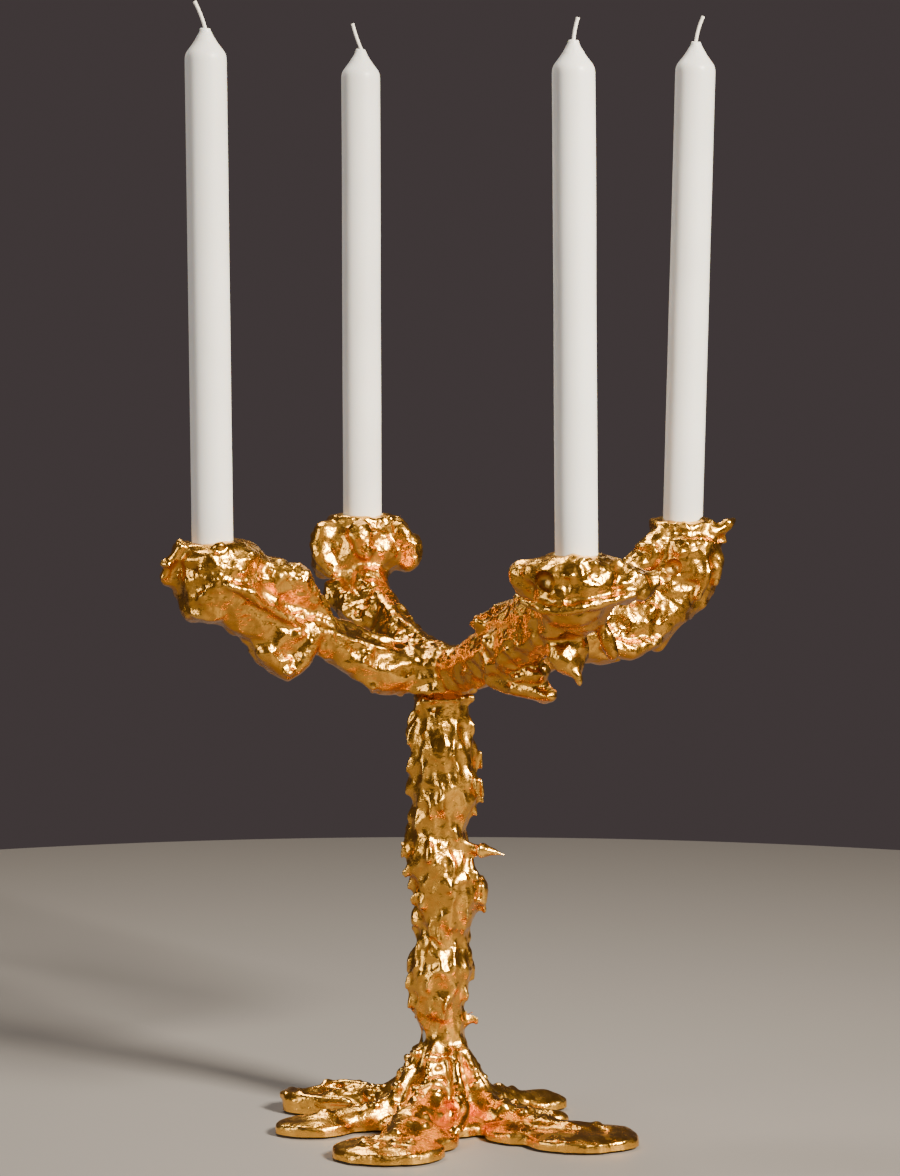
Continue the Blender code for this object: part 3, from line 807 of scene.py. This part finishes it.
def stick_on_nodules(obj):
    """Hooked nodules at their own places, then a spiral of smaller drips."""
    tree = BVHTree.FromObject(obj, bpy.context.evaluated_depsgraph_get())
    heap = Heap()
    spots = [(z, math.radians(degrees), size) for z, degrees, size in STEM_NODULES]
    for index in range(SPIRAL_NODULES):
        z = NECK_LEVEL + 10 + (COLLAR_LEVEL - NECK_LEVEL - 24) * index / (SPIRAL_NODULES - 1)
        spots.append((z, index * GOLDEN_ANGLE, 3.0 + 1.8 * golden(index)))
    for z, angle, size in spots:
        outward = Vector((math.cos(angle), math.sin(angle), 0))
        start = outward * 60 + Vector((0, 0, z))
        hit = tree.ray_cast(start * MM, -outward)[0]
        if hit is None:
            continue
        spot = hit / MM
        lift = Vector((0, 0, 1))
        lean = 0.5 * math.sin(5 * angle + 0.3 * z)
        aside = Vector((-outward.y, outward.x, 0)) * lean * size
        add_run(heap, [(*(spot + lift * 2.4 * size - outward * 0.9 * size + aside), size * 0.7),
                       (*(spot + lift * 0.8 * size - outward * 0.25 * size), size),
                       (*(spot - lift * 0.7 * size + outward * 0.05 * size), size * 0.8)],
                squash=0.85)
    stick_on(obj, heap)


def square_up_lobes(obj):
    """Give the lobes upright sides by lifting their rounded shoulders."""
    points = points_of(obj.data)
    part = np.clip(points[:, 2] / LOBE_LEVEL, 0, 1)
    points[:, 2] += LOBE_LEVEL * (part ** 0.55 - part)
    set_points(obj.data, points)


def crumple_pillar(obj, depth):
    """Leaning nodules up the stem, radial folds on the foot, calm lobes."""
    points = points_of(obj.data)
    x, y, z = points.T
    reach = np.hypot(x, y) + 1e-6
    on_stem = ramp(z, 36, 14)
    on_slope = ramp(z, LOBE_LEVEL + 1, 6) * (1 - on_stem)
    on_lobe = 1 - ramp(z, LOBE_LEVEL + 1, 6)
    bark = bowls(warped(points * (1, 1, 0.55), 14, 3.2, 61), 10.5, 62)
    flutes = bowls(warped(points * (1, 1, 0.5), 10, 2.4, 63), 7.4, 64)
    round_the_foot = np.stack([x / reach * (13 + 0.35 * reach),
                               y / reach * (13 + 0.35 * reach),
                               0.4 * (reach - z)], axis=1)
    folds = bowls(warped(round_the_foot, 9, 2.2, 65), 6.2, 66)
    waves = layered_noise(points * (1, 1, 2), 22, 67, 2)
    wall = bowls(warped(points * (1, 1, 0.12), 16, 3.0, 68), 11.0, 69)
    upright = np.clip(1 - np.abs(normals_of(obj.data)[:, 2]) * 1.6, 0, 1)
    slimming = np.where(reach < 23, -1.7, 0.0)
    amounts = on_stem * (slimming + depth * (0.9 * (0.5 - bark) + 0.75 * (0.3 - flutes)))
    amounts += on_slope * depth * 0.7 * (0.35 - folds)
    amounts += on_lobe * (0.4 * waves + 0.8 * (0.4 - wall) * upright)
    push(obj, amounts)
    sagging = np.clip(on_stem * (0.6 - bark), 0, 1) * 1.2
    points = points_of(obj.data)
    points[:, 2] -= sagging
    set_points(obj.data, points)


def crumple_pillar_finely(obj, depth):
    """Small creases and grain above the lobes, a faint grain on them."""
    points = points_of(obj.data)
    above = ramp(points[:, 2], LOBE_LEVEL + 0.5, 7)
    tall = points * (1, 1, 0.6)
    small = bowls(warped(tall, 5, 1.2, 71), 3.8, 72)
    tiny = bowls(warped(points, 3, 0.6, 76), 2.0, 73)
    lively = patches(points, 17, 74, -0.1, 0.45)
    sandy = patches(points, 12, 75, 0.0, 0.5)
    grain = layered_noise(points, 1.5, 77, 2)
    push(obj, above * depth * ((0.3 - small) * (0.15 + 0.85 * lively)
                               + 0.4 * (0.3 - tiny) * sandy) + (1 - above) * 0.05 * grain)


def cut_pillar(obj):
    """Level the underside, part foot from stem, and drill the rod's bore and recess."""
    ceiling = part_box("foot_washer")[1][2] / MM + 0.3
    half = JOINT_LINE / 2
    spare = Vector((0, 0, BORE_CLEARANCE))
    for radius, low, high in ((300, FOOT_LEVEL - 40, FOOT_LEVEL),
                              (40, COLLAR_LEVEL - half, COLLAR_LEVEL + 30),
                              (40, NECK_LEVEL - half, NECK_LEVEL + half),
                              (TIE_ROD_RADIUS + 0.5, 5, COLLAR_LEVEL + 5),
                              (15.0, -10, ceiling)):
        heap = Heap()
        add_upright(heap, radius, low, high, sides=64)
        cut(obj, heap)
    heap = Heap()
    for name in ("foot_pin", "crown_pin"):
        pin_low, pin_high = upright_span(name)
        add_rod(heap, PIN_RADIUS + BORE_CLEARANCE, pin_low - spare, pin_high + spare)
    cut(obj, heap)


def pillar_part_name(middle):
    """Name a pillar island from the place of its middle."""
    return "foot_casting" if middle[2] < NECK_LEVEL else "stem_casting"


# ---- materials

PALE_GOLD = (1.0, 0.68, 0.19)


class Finish:
    """A material under way: the nodes that the finishes share."""

    def __init__(self, name):
        self.material = bpy.data.materials.new(name)
        self.material.use_nodes = True
        self.nodes = self.material.node_tree.nodes

    def feed(self, socket, value):
        """Link another node's output to the socket, or set a plain number or colour."""
        if isinstance(value, bpy.types.NodeSocket):
            self.material.node_tree.links.new(value, socket)
        elif socket.type == "RGBA":
            socket.default_value = (*value, 1.0)
        else:
            socket.default_value = value

    def node(self, kind, inputs, **values):
        """A new node with its values set and these inputs fed."""
        node = self.nodes.new(kind)
        for key, value in values.items():
            setattr(node, key, value)
        for key, value in inputs.items():
            self.feed(node.inputs[key], value)
        return node.outputs

    def noise(self, scale, detail, roughness=0.55, stretch=None):
        place = self.nodes.new("ShaderNodeTexCoord").outputs["Object"]
        if stretch is not None:
            place = self.node("ShaderNodeMapping", {"Vector": place, "Scale": stretch})[0]
        return self.node("ShaderNodeTexNoise", {
            "Vector": place, "Scale": scale, "Detail": detail, "Roughness": roughness})[0]

    def remap(self, value, low, high, to_low, to_high):
        return self.node("ShaderNodeMapRange", {
            "Value": value, "From Min": low, "From Max": high,
            "To Min": to_low, "To Max": to_high})[0]

    def mix(self, share, first, second):
        """Colours blended by share; inputs 6 and 7 and output 2 are the colour ones."""
        return self.node("ShaderNodeMix", {"Factor": share, 6: first, 7: second},
                         data_type="RGBA")[2]

    def combine(self, operation, first, second):
        return self.node("ShaderNodeMath", {0: first, 1: second}, operation=operation)[0]

    def stored(self, name):
        """A value that mark_hollows stored on the skin."""
        return self.node("ShaderNodeAttribute", {}, attribute_name=name)["Fac"]

    def bump(self, height, distance, strength, under=None):
        inputs = {"Height": height, "Distance": distance, "Strength": strength}
        if under is not None:
            inputs["Normal"] = under
        return self.node("ShaderNodeBump", inputs)[0]

    def surface(self, colour, roughness, normal=None, **extras):
        """Feed the shader; extras name its other sockets, with _ for a space."""
        shader = self.nodes["Principled BSDF"]
        self.feed(shader.inputs["Base Color"], colour)
        self.feed(shader.inputs["Roughness"], roughness)
        if normal is not None:
            self.feed(shader.inputs["Normal"], normal)
        for name, value in extras.items():
            self.feed(shader.inputs[name.replace("_", " ")], value)
        return self.material


def gilt_material(settings):
    """Bright plating with painted shade: darker, duller gold in the hollows and brown gold on
    the undersides; rubbed pale on the ridges.
    """
    gilt = Finish("gilt_plating")
    hollow = gilt.stored("hollow")
    cloudy = gilt.noise(60, 4)
    deep = gilt.combine("ADD", hollow, gilt.remap(cloudy, 0.3, 0.7, -0.25, 0.25))
    # painted shade in the hollows: darker, yellower gold where the skin is hollow
    colour = gilt.mix(gilt.remap(deep, 0.12, 0.95, 0, 0.8),
                      tuple(settings.gold), tuple(settings.hollow_shade_gold))
    colour = gilt.mix(gilt.remap(deep, -0.35, -1.0, 0, 0.8), colour, PALE_GOLD)
    # painted shade on the undersides: brown gold where the stored underside mask is high
    underside_shade_share = gilt.combine("ADD", gilt.stored("painted_underside_shade"),
                         gilt.remap(cloudy, 0.3, 0.7, -0.2, 0.2))
    colour = gilt.mix(gilt.remap(underside_shade_share, 0.1, 0.85, 0, 0.85), colour,
                      tuple(settings.underside_shade_gold))
    rough = gilt.combine("ADD", gilt.remap(gilt.noise(140, 3), 0.35, 0.7, 0.18, 0.32),
                         gilt.remap(hollow, 0.0, 1.0, 0.0, 0.12))
    dimples = gilt.bump(gilt.noise(420, 3), 0.0008, 0.5)
    grain = gilt.bump(gilt.noise(1500, 2), 0.00015, 0.25, under=dimples)
    return gilt.surface(colour, rough, grain, Metallic=1.0)


def wax_material(settings):
    """Satin wax, faintly streaked down its length and clouded."""
    wax = Finish("candle_wax")
    clouds = wax.noise(22, 2)
    blend = wax.combine("MULTIPLY", wax.noise(90, 3, stretch=(1, 1, 0.04)), clouds)
    base = Vector(settings.wax)
    colour = wax.mix(wax.remap(blend, 0.15, 0.4, 0, 1), tuple(base * 0.96), tuple(base * 1.03))
    fine = wax.bump(wax.noise(260, 3, stretch=(1, 1, 0.15)), 0.0002, 0.12)
    return wax.surface(colour, wax.remap(clouds, 0.3, 0.7, 0.32, 0.46), fine,
                       Subsurface_Weight=0.35, Subsurface_Radius=(1.0, 0.75, 0.5),
                       Subsurface_Scale=0.003, IOR=1.44,
                       Coat_Weight=0.08, Coat_Roughness=0.25)


def cotton_material():
    """Waxed cotton threads."""
    cotton = Finish("wick_cotton")
    fibres = cotton.noise(2600, 3, stretch=(1, 1, 0.3))
    colour = cotton.mix(cotton.remap(fibres, 0.3, 0.7, 0, 1),
                        (0.72, 0.68, 0.60), (0.90, 0.88, 0.82))
    return cotton.surface(colour, 0.7, cotton.bump(fibres, 0.0002, 0.6), Sheen_Weight=0.2)


def steel_material():
    """Zinc-plated steel with fine turning marks."""
    steel = Finish("plated_steel")
    marks = steel.noise(900, 3, stretch=(0.2, 0.2, 3))
    colour = steel.mix(steel.noise(160, 2), (0.50, 0.51, 0.52), (0.62, 0.62, 0.60))
    return steel.surface(colour, steel.remap(marks, 0.3, 0.7, 0.25, 0.42),
                         steel.bump(marks, 0.0001, 0.2), Metallic=1.0)


def felt_material():
    """Dark pressed felt with loose fibres."""
    felt = Finish("pressed_felt")
    fibres = felt.noise(1400, 4, 0.7)
    colour = felt.mix(felt.remap(fibres, 0.3, 0.7, 0, 1),
                      (0.025, 0.022, 0.020), (0.075, 0.068, 0.060))
    return felt.surface(colour, 0.95, felt.bump(fibres, 0.0004, 0.8), Sheen_Weight=0.4)


def floor_material(settings):
    """Pale, matt, very slightly mottled."""
    paint = Finish("pale_floor")
    base = Vector(settings.floor)
    colour = paint.mix(paint.noise(3, 4), tuple(base * 0.97), tuple(base * 1.03))
    return paint.surface(colour, 0.6)


def dress(obj, material, sharp_above):
    """Give the piece its material, and smooth shading but for its sharp edges."""
    obj.data.materials.clear()
    obj.data.materials.append(material)
    obj.data.shade_smooth()
    obj.data.set_sharp_from_angle(angle=math.radians(sharp_above))


def mount_casting(obj, node, material):
    """Finish a casting that stands for a frame node."""
    mark_hollows(obj.data)
    dress(obj, material, sharp_above=62)
    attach(obj, "candelabra")
    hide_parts(node)


# ---- candles

CANDLE_LENGTH = 286.0
WICK_BORE = 1.3
TIP_HEIGHT = 17.0
TIP_RADIUS = 2.5

# Outline of the tip: distances down from its top and the radius at each.
TIP_DOWN = (0.0, 1.5, 4.0, 7.5, 10.0, 11.5, 13.0, 14.5, 16.5)
TIP_OUT = (TIP_RADIUS, 2.9, 4.2, 6.4, 8.3, 9.5, 10.4, 10.85, CANDLE_RADIUS)


def candle_outline():
    """Heights and radii: base, straight side and hollow-flanked tip, from bore to bore."""
    outline = [(0.0, WICK_BORE), (0.0, 10.3), (0.3, 10.85), (1.0, CANDLE_RADIUS)]
    side = CANDLE_LENGTH - TIP_HEIGHT - 1.3
    outline += [(1.0 + side * step / 60, CANDLE_RADIUS) for step in range(1, 61)]
    for step in range(1, 31):
        down = TIP_HEIGHT * (1 - step / 30) + 0.3
        eased = [np.interp(down + ease, TIP_DOWN, TIP_OUT) for ease in (-1.0, -0.5, 0, 0.5, 1.0)]
        outline.append((CANDLE_LENGTH - down, np.mean(eased)))
    outline.append((CANDLE_LENGTH, TIP_RADIUS - 0.35))
    outline.append((CANDLE_LENGTH - 0.1, WICK_BORE))
    return outline


def candle_shape(name, settings):
    """Wax with a slightly uneven side and a chipped crown."""
    foot, axis = candle_axis(name)
    turn = np.array(axis.to_track_quat("Z", "Y").to_matrix())
    number = ARMS.index(name)
    rings = []
    for height, radius in candle_outline():
        around = level_ring(settings.sides, radius, height)
        if radius > WICK_BORE + 0.01:
            spots = around * (1, 1, 0.2) + number * 50
            sway = layered_noise(spots, 16, 81, 2) * settings.wobble / MM
            if height > CANDLE_LENGTH - 6:
                sway += layered_noise(around + number * 50, 2.6, 84, 2) * 0.16
            around[:, :2] *= (1 + sway / radius)[:, None]
            if height > CANDLE_LENGTH - 1:
                around[:, 2] += layered_noise(around + number * 30, 2.5, 86, 2) * 0.35
        rings.append(around @ turn.T + np.array(foot))
    return ringed("wax_" + name, rings, joined=True)


# ---- wicks

BARE_WICK = 17.0                # length of the bent end, wax tip and all
WICK_STEP = 0.25
WICK_SIDES = 18
TWIST = 0.8                     # radians of twist to a millimetre


def wick_route(name):
    """The wick's middle line: its foot, then a smooth bend fitted to its bare end."""
    points = node_points("wick_" + name)
    low, high = points[:, 2].min(), points[:, 2].max()
    foot = points[points[:, 2] < low + 1]
    bare = points[points[:, 2] > high - BARE_WICK]
    bend_x = np.polyfit(bare[:, 2] - high, bare[:, 0], 2)
    bend_y = np.polyfit(bare[:, 2] - high, bare[:, 1], 2)
    route = [Vector(foot.mean(axis=0))]
    for down in np.linspace(-BARE_WICK, -0.5, 6):
        route.append(Vector((np.polyval(bend_x, down), np.polyval(bend_y, down), high + down)))
    return route


def wick_shape(name, settings):
    """Three threads laid together as one twisted braid, frayed at its cut end."""
    route = wick_route(name)
    samples = smooth_run([(*spot, 1.0) for spot in route[1:]])
    line = [route[0], samples[0].xyz]
    for sample in samples[1:]:
        if (sample.xyz - line[-1]).length > WICK_STEP:
            line.append(sample.xyz)
    angles = np.arange(WICK_SIDES) * math.tau / WICK_SIDES
    rings = []
    travelled = 0.0
    for index, spot in enumerate(line):
        before = line[max(index - 1, 0)]
        after = line[min(index + 1, len(line) - 1)]
        travelled += (spot - before).length
        turn = np.array((after - before).to_track_quat("Z", "Y").to_matrix())
        fray = 1.12 if index >= len(line) - 4 else 1.0
        threads = 0.93 + 0.07 * np.abs(np.cos(1.5 * (angles - travelled * TWIST)))
        ring = level_ring(WICK_SIDES, settings.wick_radius / MM * fray * threads)
        rings.append(ring @ turn.T + np.array(spot))
    return ringed("braid_" + name, rings)


# ---- felt

FELT_SIDES = 120
FELT_EDGE = 0.7                 # how far in the edge starts to round over


def felt_shape(name):
    """A die-cut disc of felt with a soft edge, a matted face and a few lifted tufts."""
    points = node_points(name)
    low, high = points.min(axis=0), points.max(axis=0)
    middle = (low + high) / 2
    radius = (high[0] - low[0]) / 2
    half = (high[2] - low[2]) / 2
    flat = np.linspace(0.4, radius - FELT_EDGE, 16)
    outline = [(out, -half) for out in flat]
    for turn in np.radians(np.linspace(-75, 75, 9)):
        outline.append((radius - FELT_EDGE * (1 - math.cos(turn)), half * math.sin(turn)))
    outline += [(out, half) for out in flat[::-1]]
    rings = []
    for out, height in outline:
        around = level_ring(FELT_SIDES, out, height)
        matted = np.abs(layered_noise(around + middle, 1.7, 88, 3))
        tufts = np.abs(layered_noise(around + middle, 0.7, 89, 2))
        around[:, :2] *= (1 - 0.45 * matted * (out / radius) ** 4 / radius)[:, None]
        around[:, 2] *= 1 - 0.22 * matted - 0.1 * tufts
        rings.append(around + middle)
    return ringed(name.replace("pad", "felt_disc"), rings)


# ---- operators

class CANDELABRA_OT_crown(bpy.types.Operator):
    """Sculpt the hub and the four arms from one skin and cut them apart."""
    bl_idname = "candelabra.crown"
    bl_label = "Crown castings"

    def execute(self, context):
        settings = context.scene.candelabra_casting
        crown = crown_blank()
        fuse(crown, settings.rough_skin, 4)
        stick_on_nuggets(crown, 13, 91, 2.4, 0.3)
        fuse(crown, settings.rough_skin * 0.8, 2)
        crumple_crown(crown, settings.crumple / MM)
        fuse(crown, settings.fine_skin, 3)
        dig_pits(crown)
        crumple_finely(crown, 101, 1.05)
        cut_crown(crown)
        parts = split(crown, crown_part_name)
        gilt = gilt_material(settings)
        mount_casting(parts["hub_casting"], "crown_hub", gilt)
        for name in ARMS:
            mount_casting(parts["arm_casting_" + name], "arm_" + name, gilt)
        return {"FINISHED"}


class CANDELABRA_OT_pillar(bpy.types.Operator):
    """Sculpt the foot and the stem from one skin and cut them apart."""
    bl_idname = "candelabra.pillar"
    bl_label = "Foot and stem castings"

    def execute(self, context):
        settings = context.scene.candelabra_casting
        pillar = pillar_blank()
        fuse(pillar, settings.rough_skin, 3)
        stick_on_nodules(pillar)
        stick_on_nuggets(pillar, 8, 93, 2.5, 0.5, LOBE_LEVEL, NECK_LEVEL)
        fuse(pillar, settings.rough_skin * 0.8, 3)
        square_up_lobes(pillar)
        crumple_pillar(pillar, settings.crumple / MM)
        fuse(pillar, settings.fine_skin * 1.15, 3)
        crumple_pillar_finely(pillar, 0.5)
        cut_pillar(pillar)
        parts = split(pillar, pillar_part_name)
        gilt = bpy.data.materials["gilt_plating"]
        mount_casting(parts["foot_casting"], "foot", gilt)
        mount_casting(parts["stem_casting"], "stem", gilt)
        return {"FINISHED"}


class CANDELABRA_OT_candles(bpy.types.Operator):
    """Mould the four candles."""
    bl_idname = "candelabra.candles"
    bl_label = "Candles"

    def execute(self, context):
        settings = context.scene.candelabra_candle
        wax = wax_material(settings)
        for name in ARMS:
            candle = candle_shape(name, settings)
            dress(candle, wax, sharp_above=50)
            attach(candle, "candle_body_" + name)
            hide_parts("candle_" + name)
        return {"FINISHED"}


class CANDELABRA_OT_wicks(bpy.types.Operator):
    """Lay the four wicks."""
    bl_idname = "candelabra.wicks"
    bl_label = "Wicks"

    def execute(self, context):
        settings = context.scene.candelabra_candle
        cotton = cotton_material()
        for name in ARMS:
            wick = wick_shape(name, settings)
            dress(wick, cotton, sharp_above=60)
            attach(wick, "candle_body_" + name)
            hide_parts("wick_" + name)
        return {"FINISHED"}


class CANDELABRA_OT_fasteners(bpy.types.Operator):
    """Give the rod, studs, pins, washers and nut their plated finish."""
    bl_idname = "candelabra.fasteners"
    bl_label = "Fasteners"

    def execute(self, context):
        steel = steel_material()
        names = ["tie_rod", "foot_washer", "spring_washer", "foot_nut", "foot_pin", "crown_pin"]
        for name in names + ["stud_" + arm for arm in ARMS]:
            frame["nodes"][name].material_slots[0].material = steel
        return {"FINISHED"}


class CANDELABRA_OT_felt(bpy.types.Operator):
    """Cut the felt discs glued under the foot."""
    bl_idname = "candelabra.felt"
    bl_label = "Felt pads"

    def execute(self, context):
        felt = felt_material()
        for name in sorted(frame["nodes"]):
            if name.startswith("pad_"):
                disc = felt_shape(name)
                dress(disc, felt, sharp_above=60)
                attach(disc, "candelabra")
                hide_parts(name)
        return {"FINISHED"}


# ---- stage

FLOOR_RADIUS = 1000.0
FLOOR_THICKNESS = 30.0
CAMERA_ASIDE = 0.0046           # camera to the right of the stem, in metres
SENSOR_WIDTH = 36.0             # sensor and lens in millimetres
LENS_LENGTH = 124.04

# Soft lights: name, place, height aimed at, width and height, watts, colour, spread in degrees.
LIGHTS = (
    ("key_light", (1.35, -1.35, 1.45), 0.28, (0.40, 0.55), 29, (1.0, 0.91, 0.76), 70),
    ("fill_light", (-1.7, -1.1, 0.7), 0.35, (0.7, 1.0), 2.4, (1.0, 0.95, 0.90), 70),
    ("top_light", (-0.5, 0.8, 1.9), 0.4, (0.6, 0.5), 5, (1.0, 0.93, 0.82), 80),
)


def add_light(name, place, aim, size, power, colour, spread):
    """A rectangular lamp that looks at the stem."""
    data = bpy.data.lights.new(name, "AREA")
    data.shape = "RECTANGLE"
    data.size, data.size_y = size
    data.energy = power
    data.color = colour
    data.spread = math.radians(spread)
    light = link(name, data)
    light.location = place
    ahead = Vector((0, 0, aim)) - Vector(place)
    light.rotation_euler = ahead.to_track_quat("-Z", "Y").to_euler()


class CANDELABRA_OT_stage(bpy.types.Operator):
    """Set the pale floor, the soft lights, the surroundings and the camera."""
    bl_idname = "candelabra.stage"
    bl_label = "Stage"

    def execute(self, context):
        settings = context.scene.candelabra_stage
        heap = Heap()
        add_upright(heap, FLOOR_RADIUS, -FLOOR_THICKNESS, 0, sides=256)
        floor = link("floor", heap.mesh("floor"))
        dress(floor, floor_material(settings), sharp_above=40)
        for light in LIGHTS:
            add_light(*light)
        world = bpy.data.worlds.new("studio")
        world.use_nodes = True
        glow = world.node_tree.nodes["Background"]
        glow.inputs["Color"].default_value = (*settings.surroundings, 1.0)
        context.scene.world = world
        data = bpy.data.cameras.new("camera")
        data.sensor_width = SENSOR_WIDTH
        data.lens = LENS_LENGTH
        camera = link("camera", data)
        camera.location = (CAMERA_ASIDE, -settings.camera_distance, settings.camera_height)
        camera.rotation_euler = (math.pi / 2 - settings.camera_pitch, 0, 0)
        context.scene.camera = camera
        return {"FINISHED"}


# ---- add-on

STEPS = (
    CANDELABRA_OT_stage, CANDELABRA_OT_crown, CANDELABRA_OT_pillar, CANDELABRA_OT_candles,
    CANDELABRA_OT_wicks, CANDELABRA_OT_fasteners, CANDELABRA_OT_felt,
)


class CANDELABRA_PT_panel(bpy.types.Panel):
    """Lists the pieces and their settings."""
    bl_label = "Candelabra"
    bl_idname = "CANDELABRA_PT_panel"
    bl_space_type = "VIEW_3D"
    bl_region_type = "UI"
    bl_category = "Candelabra"

    def draw(self, context):
        for group in ("candelabra_casting", "candelabra_candle", "candelabra_stage"):
            settings = getattr(context.scene, group)
            box = self.layout.box()
            for key in settings.bl_rna.properties.keys():
                if key not in ("rna_type", "name"):
                    box.prop(settings, key)
        for step in STEPS:
            self.layout.operator(step.bl_idname)


CLASSES = (CastingSettings, CandleSettings, StageSettings, *STEPS, CANDELABRA_PT_panel)


def register():
    for cls in CLASSES:
        bpy.utils.register_class(cls)
    bpy.types.Scene.candelabra_casting = PointerProperty(type=CastingSettings)
    bpy.types.Scene.candelabra_candle = PointerProperty(type=CandleSettings)
    bpy.types.Scene.candelabra_stage = PointerProperty(type=StageSettings)


def unregister():
    del bpy.types.Scene.candelabra_stage
    del bpy.types.Scene.candelabra_candle
    del bpy.types.Scene.candelabra_casting
    for cls in reversed(CLASSES):
        bpy.utils.unregister_class(cls)


def main():
    register()
    bpy.ops.candelabra.stage()
    bpy.ops.candelabra.crown()
    bpy.ops.candelabra.pillar()
    bpy.ops.candelabra.candles()
    bpy.ops.candelabra.wicks()
    bpy.ops.candelabra.fasteners()
    bpy.ops.candelabra.felt()


if __name__ == "__main__":
    main()
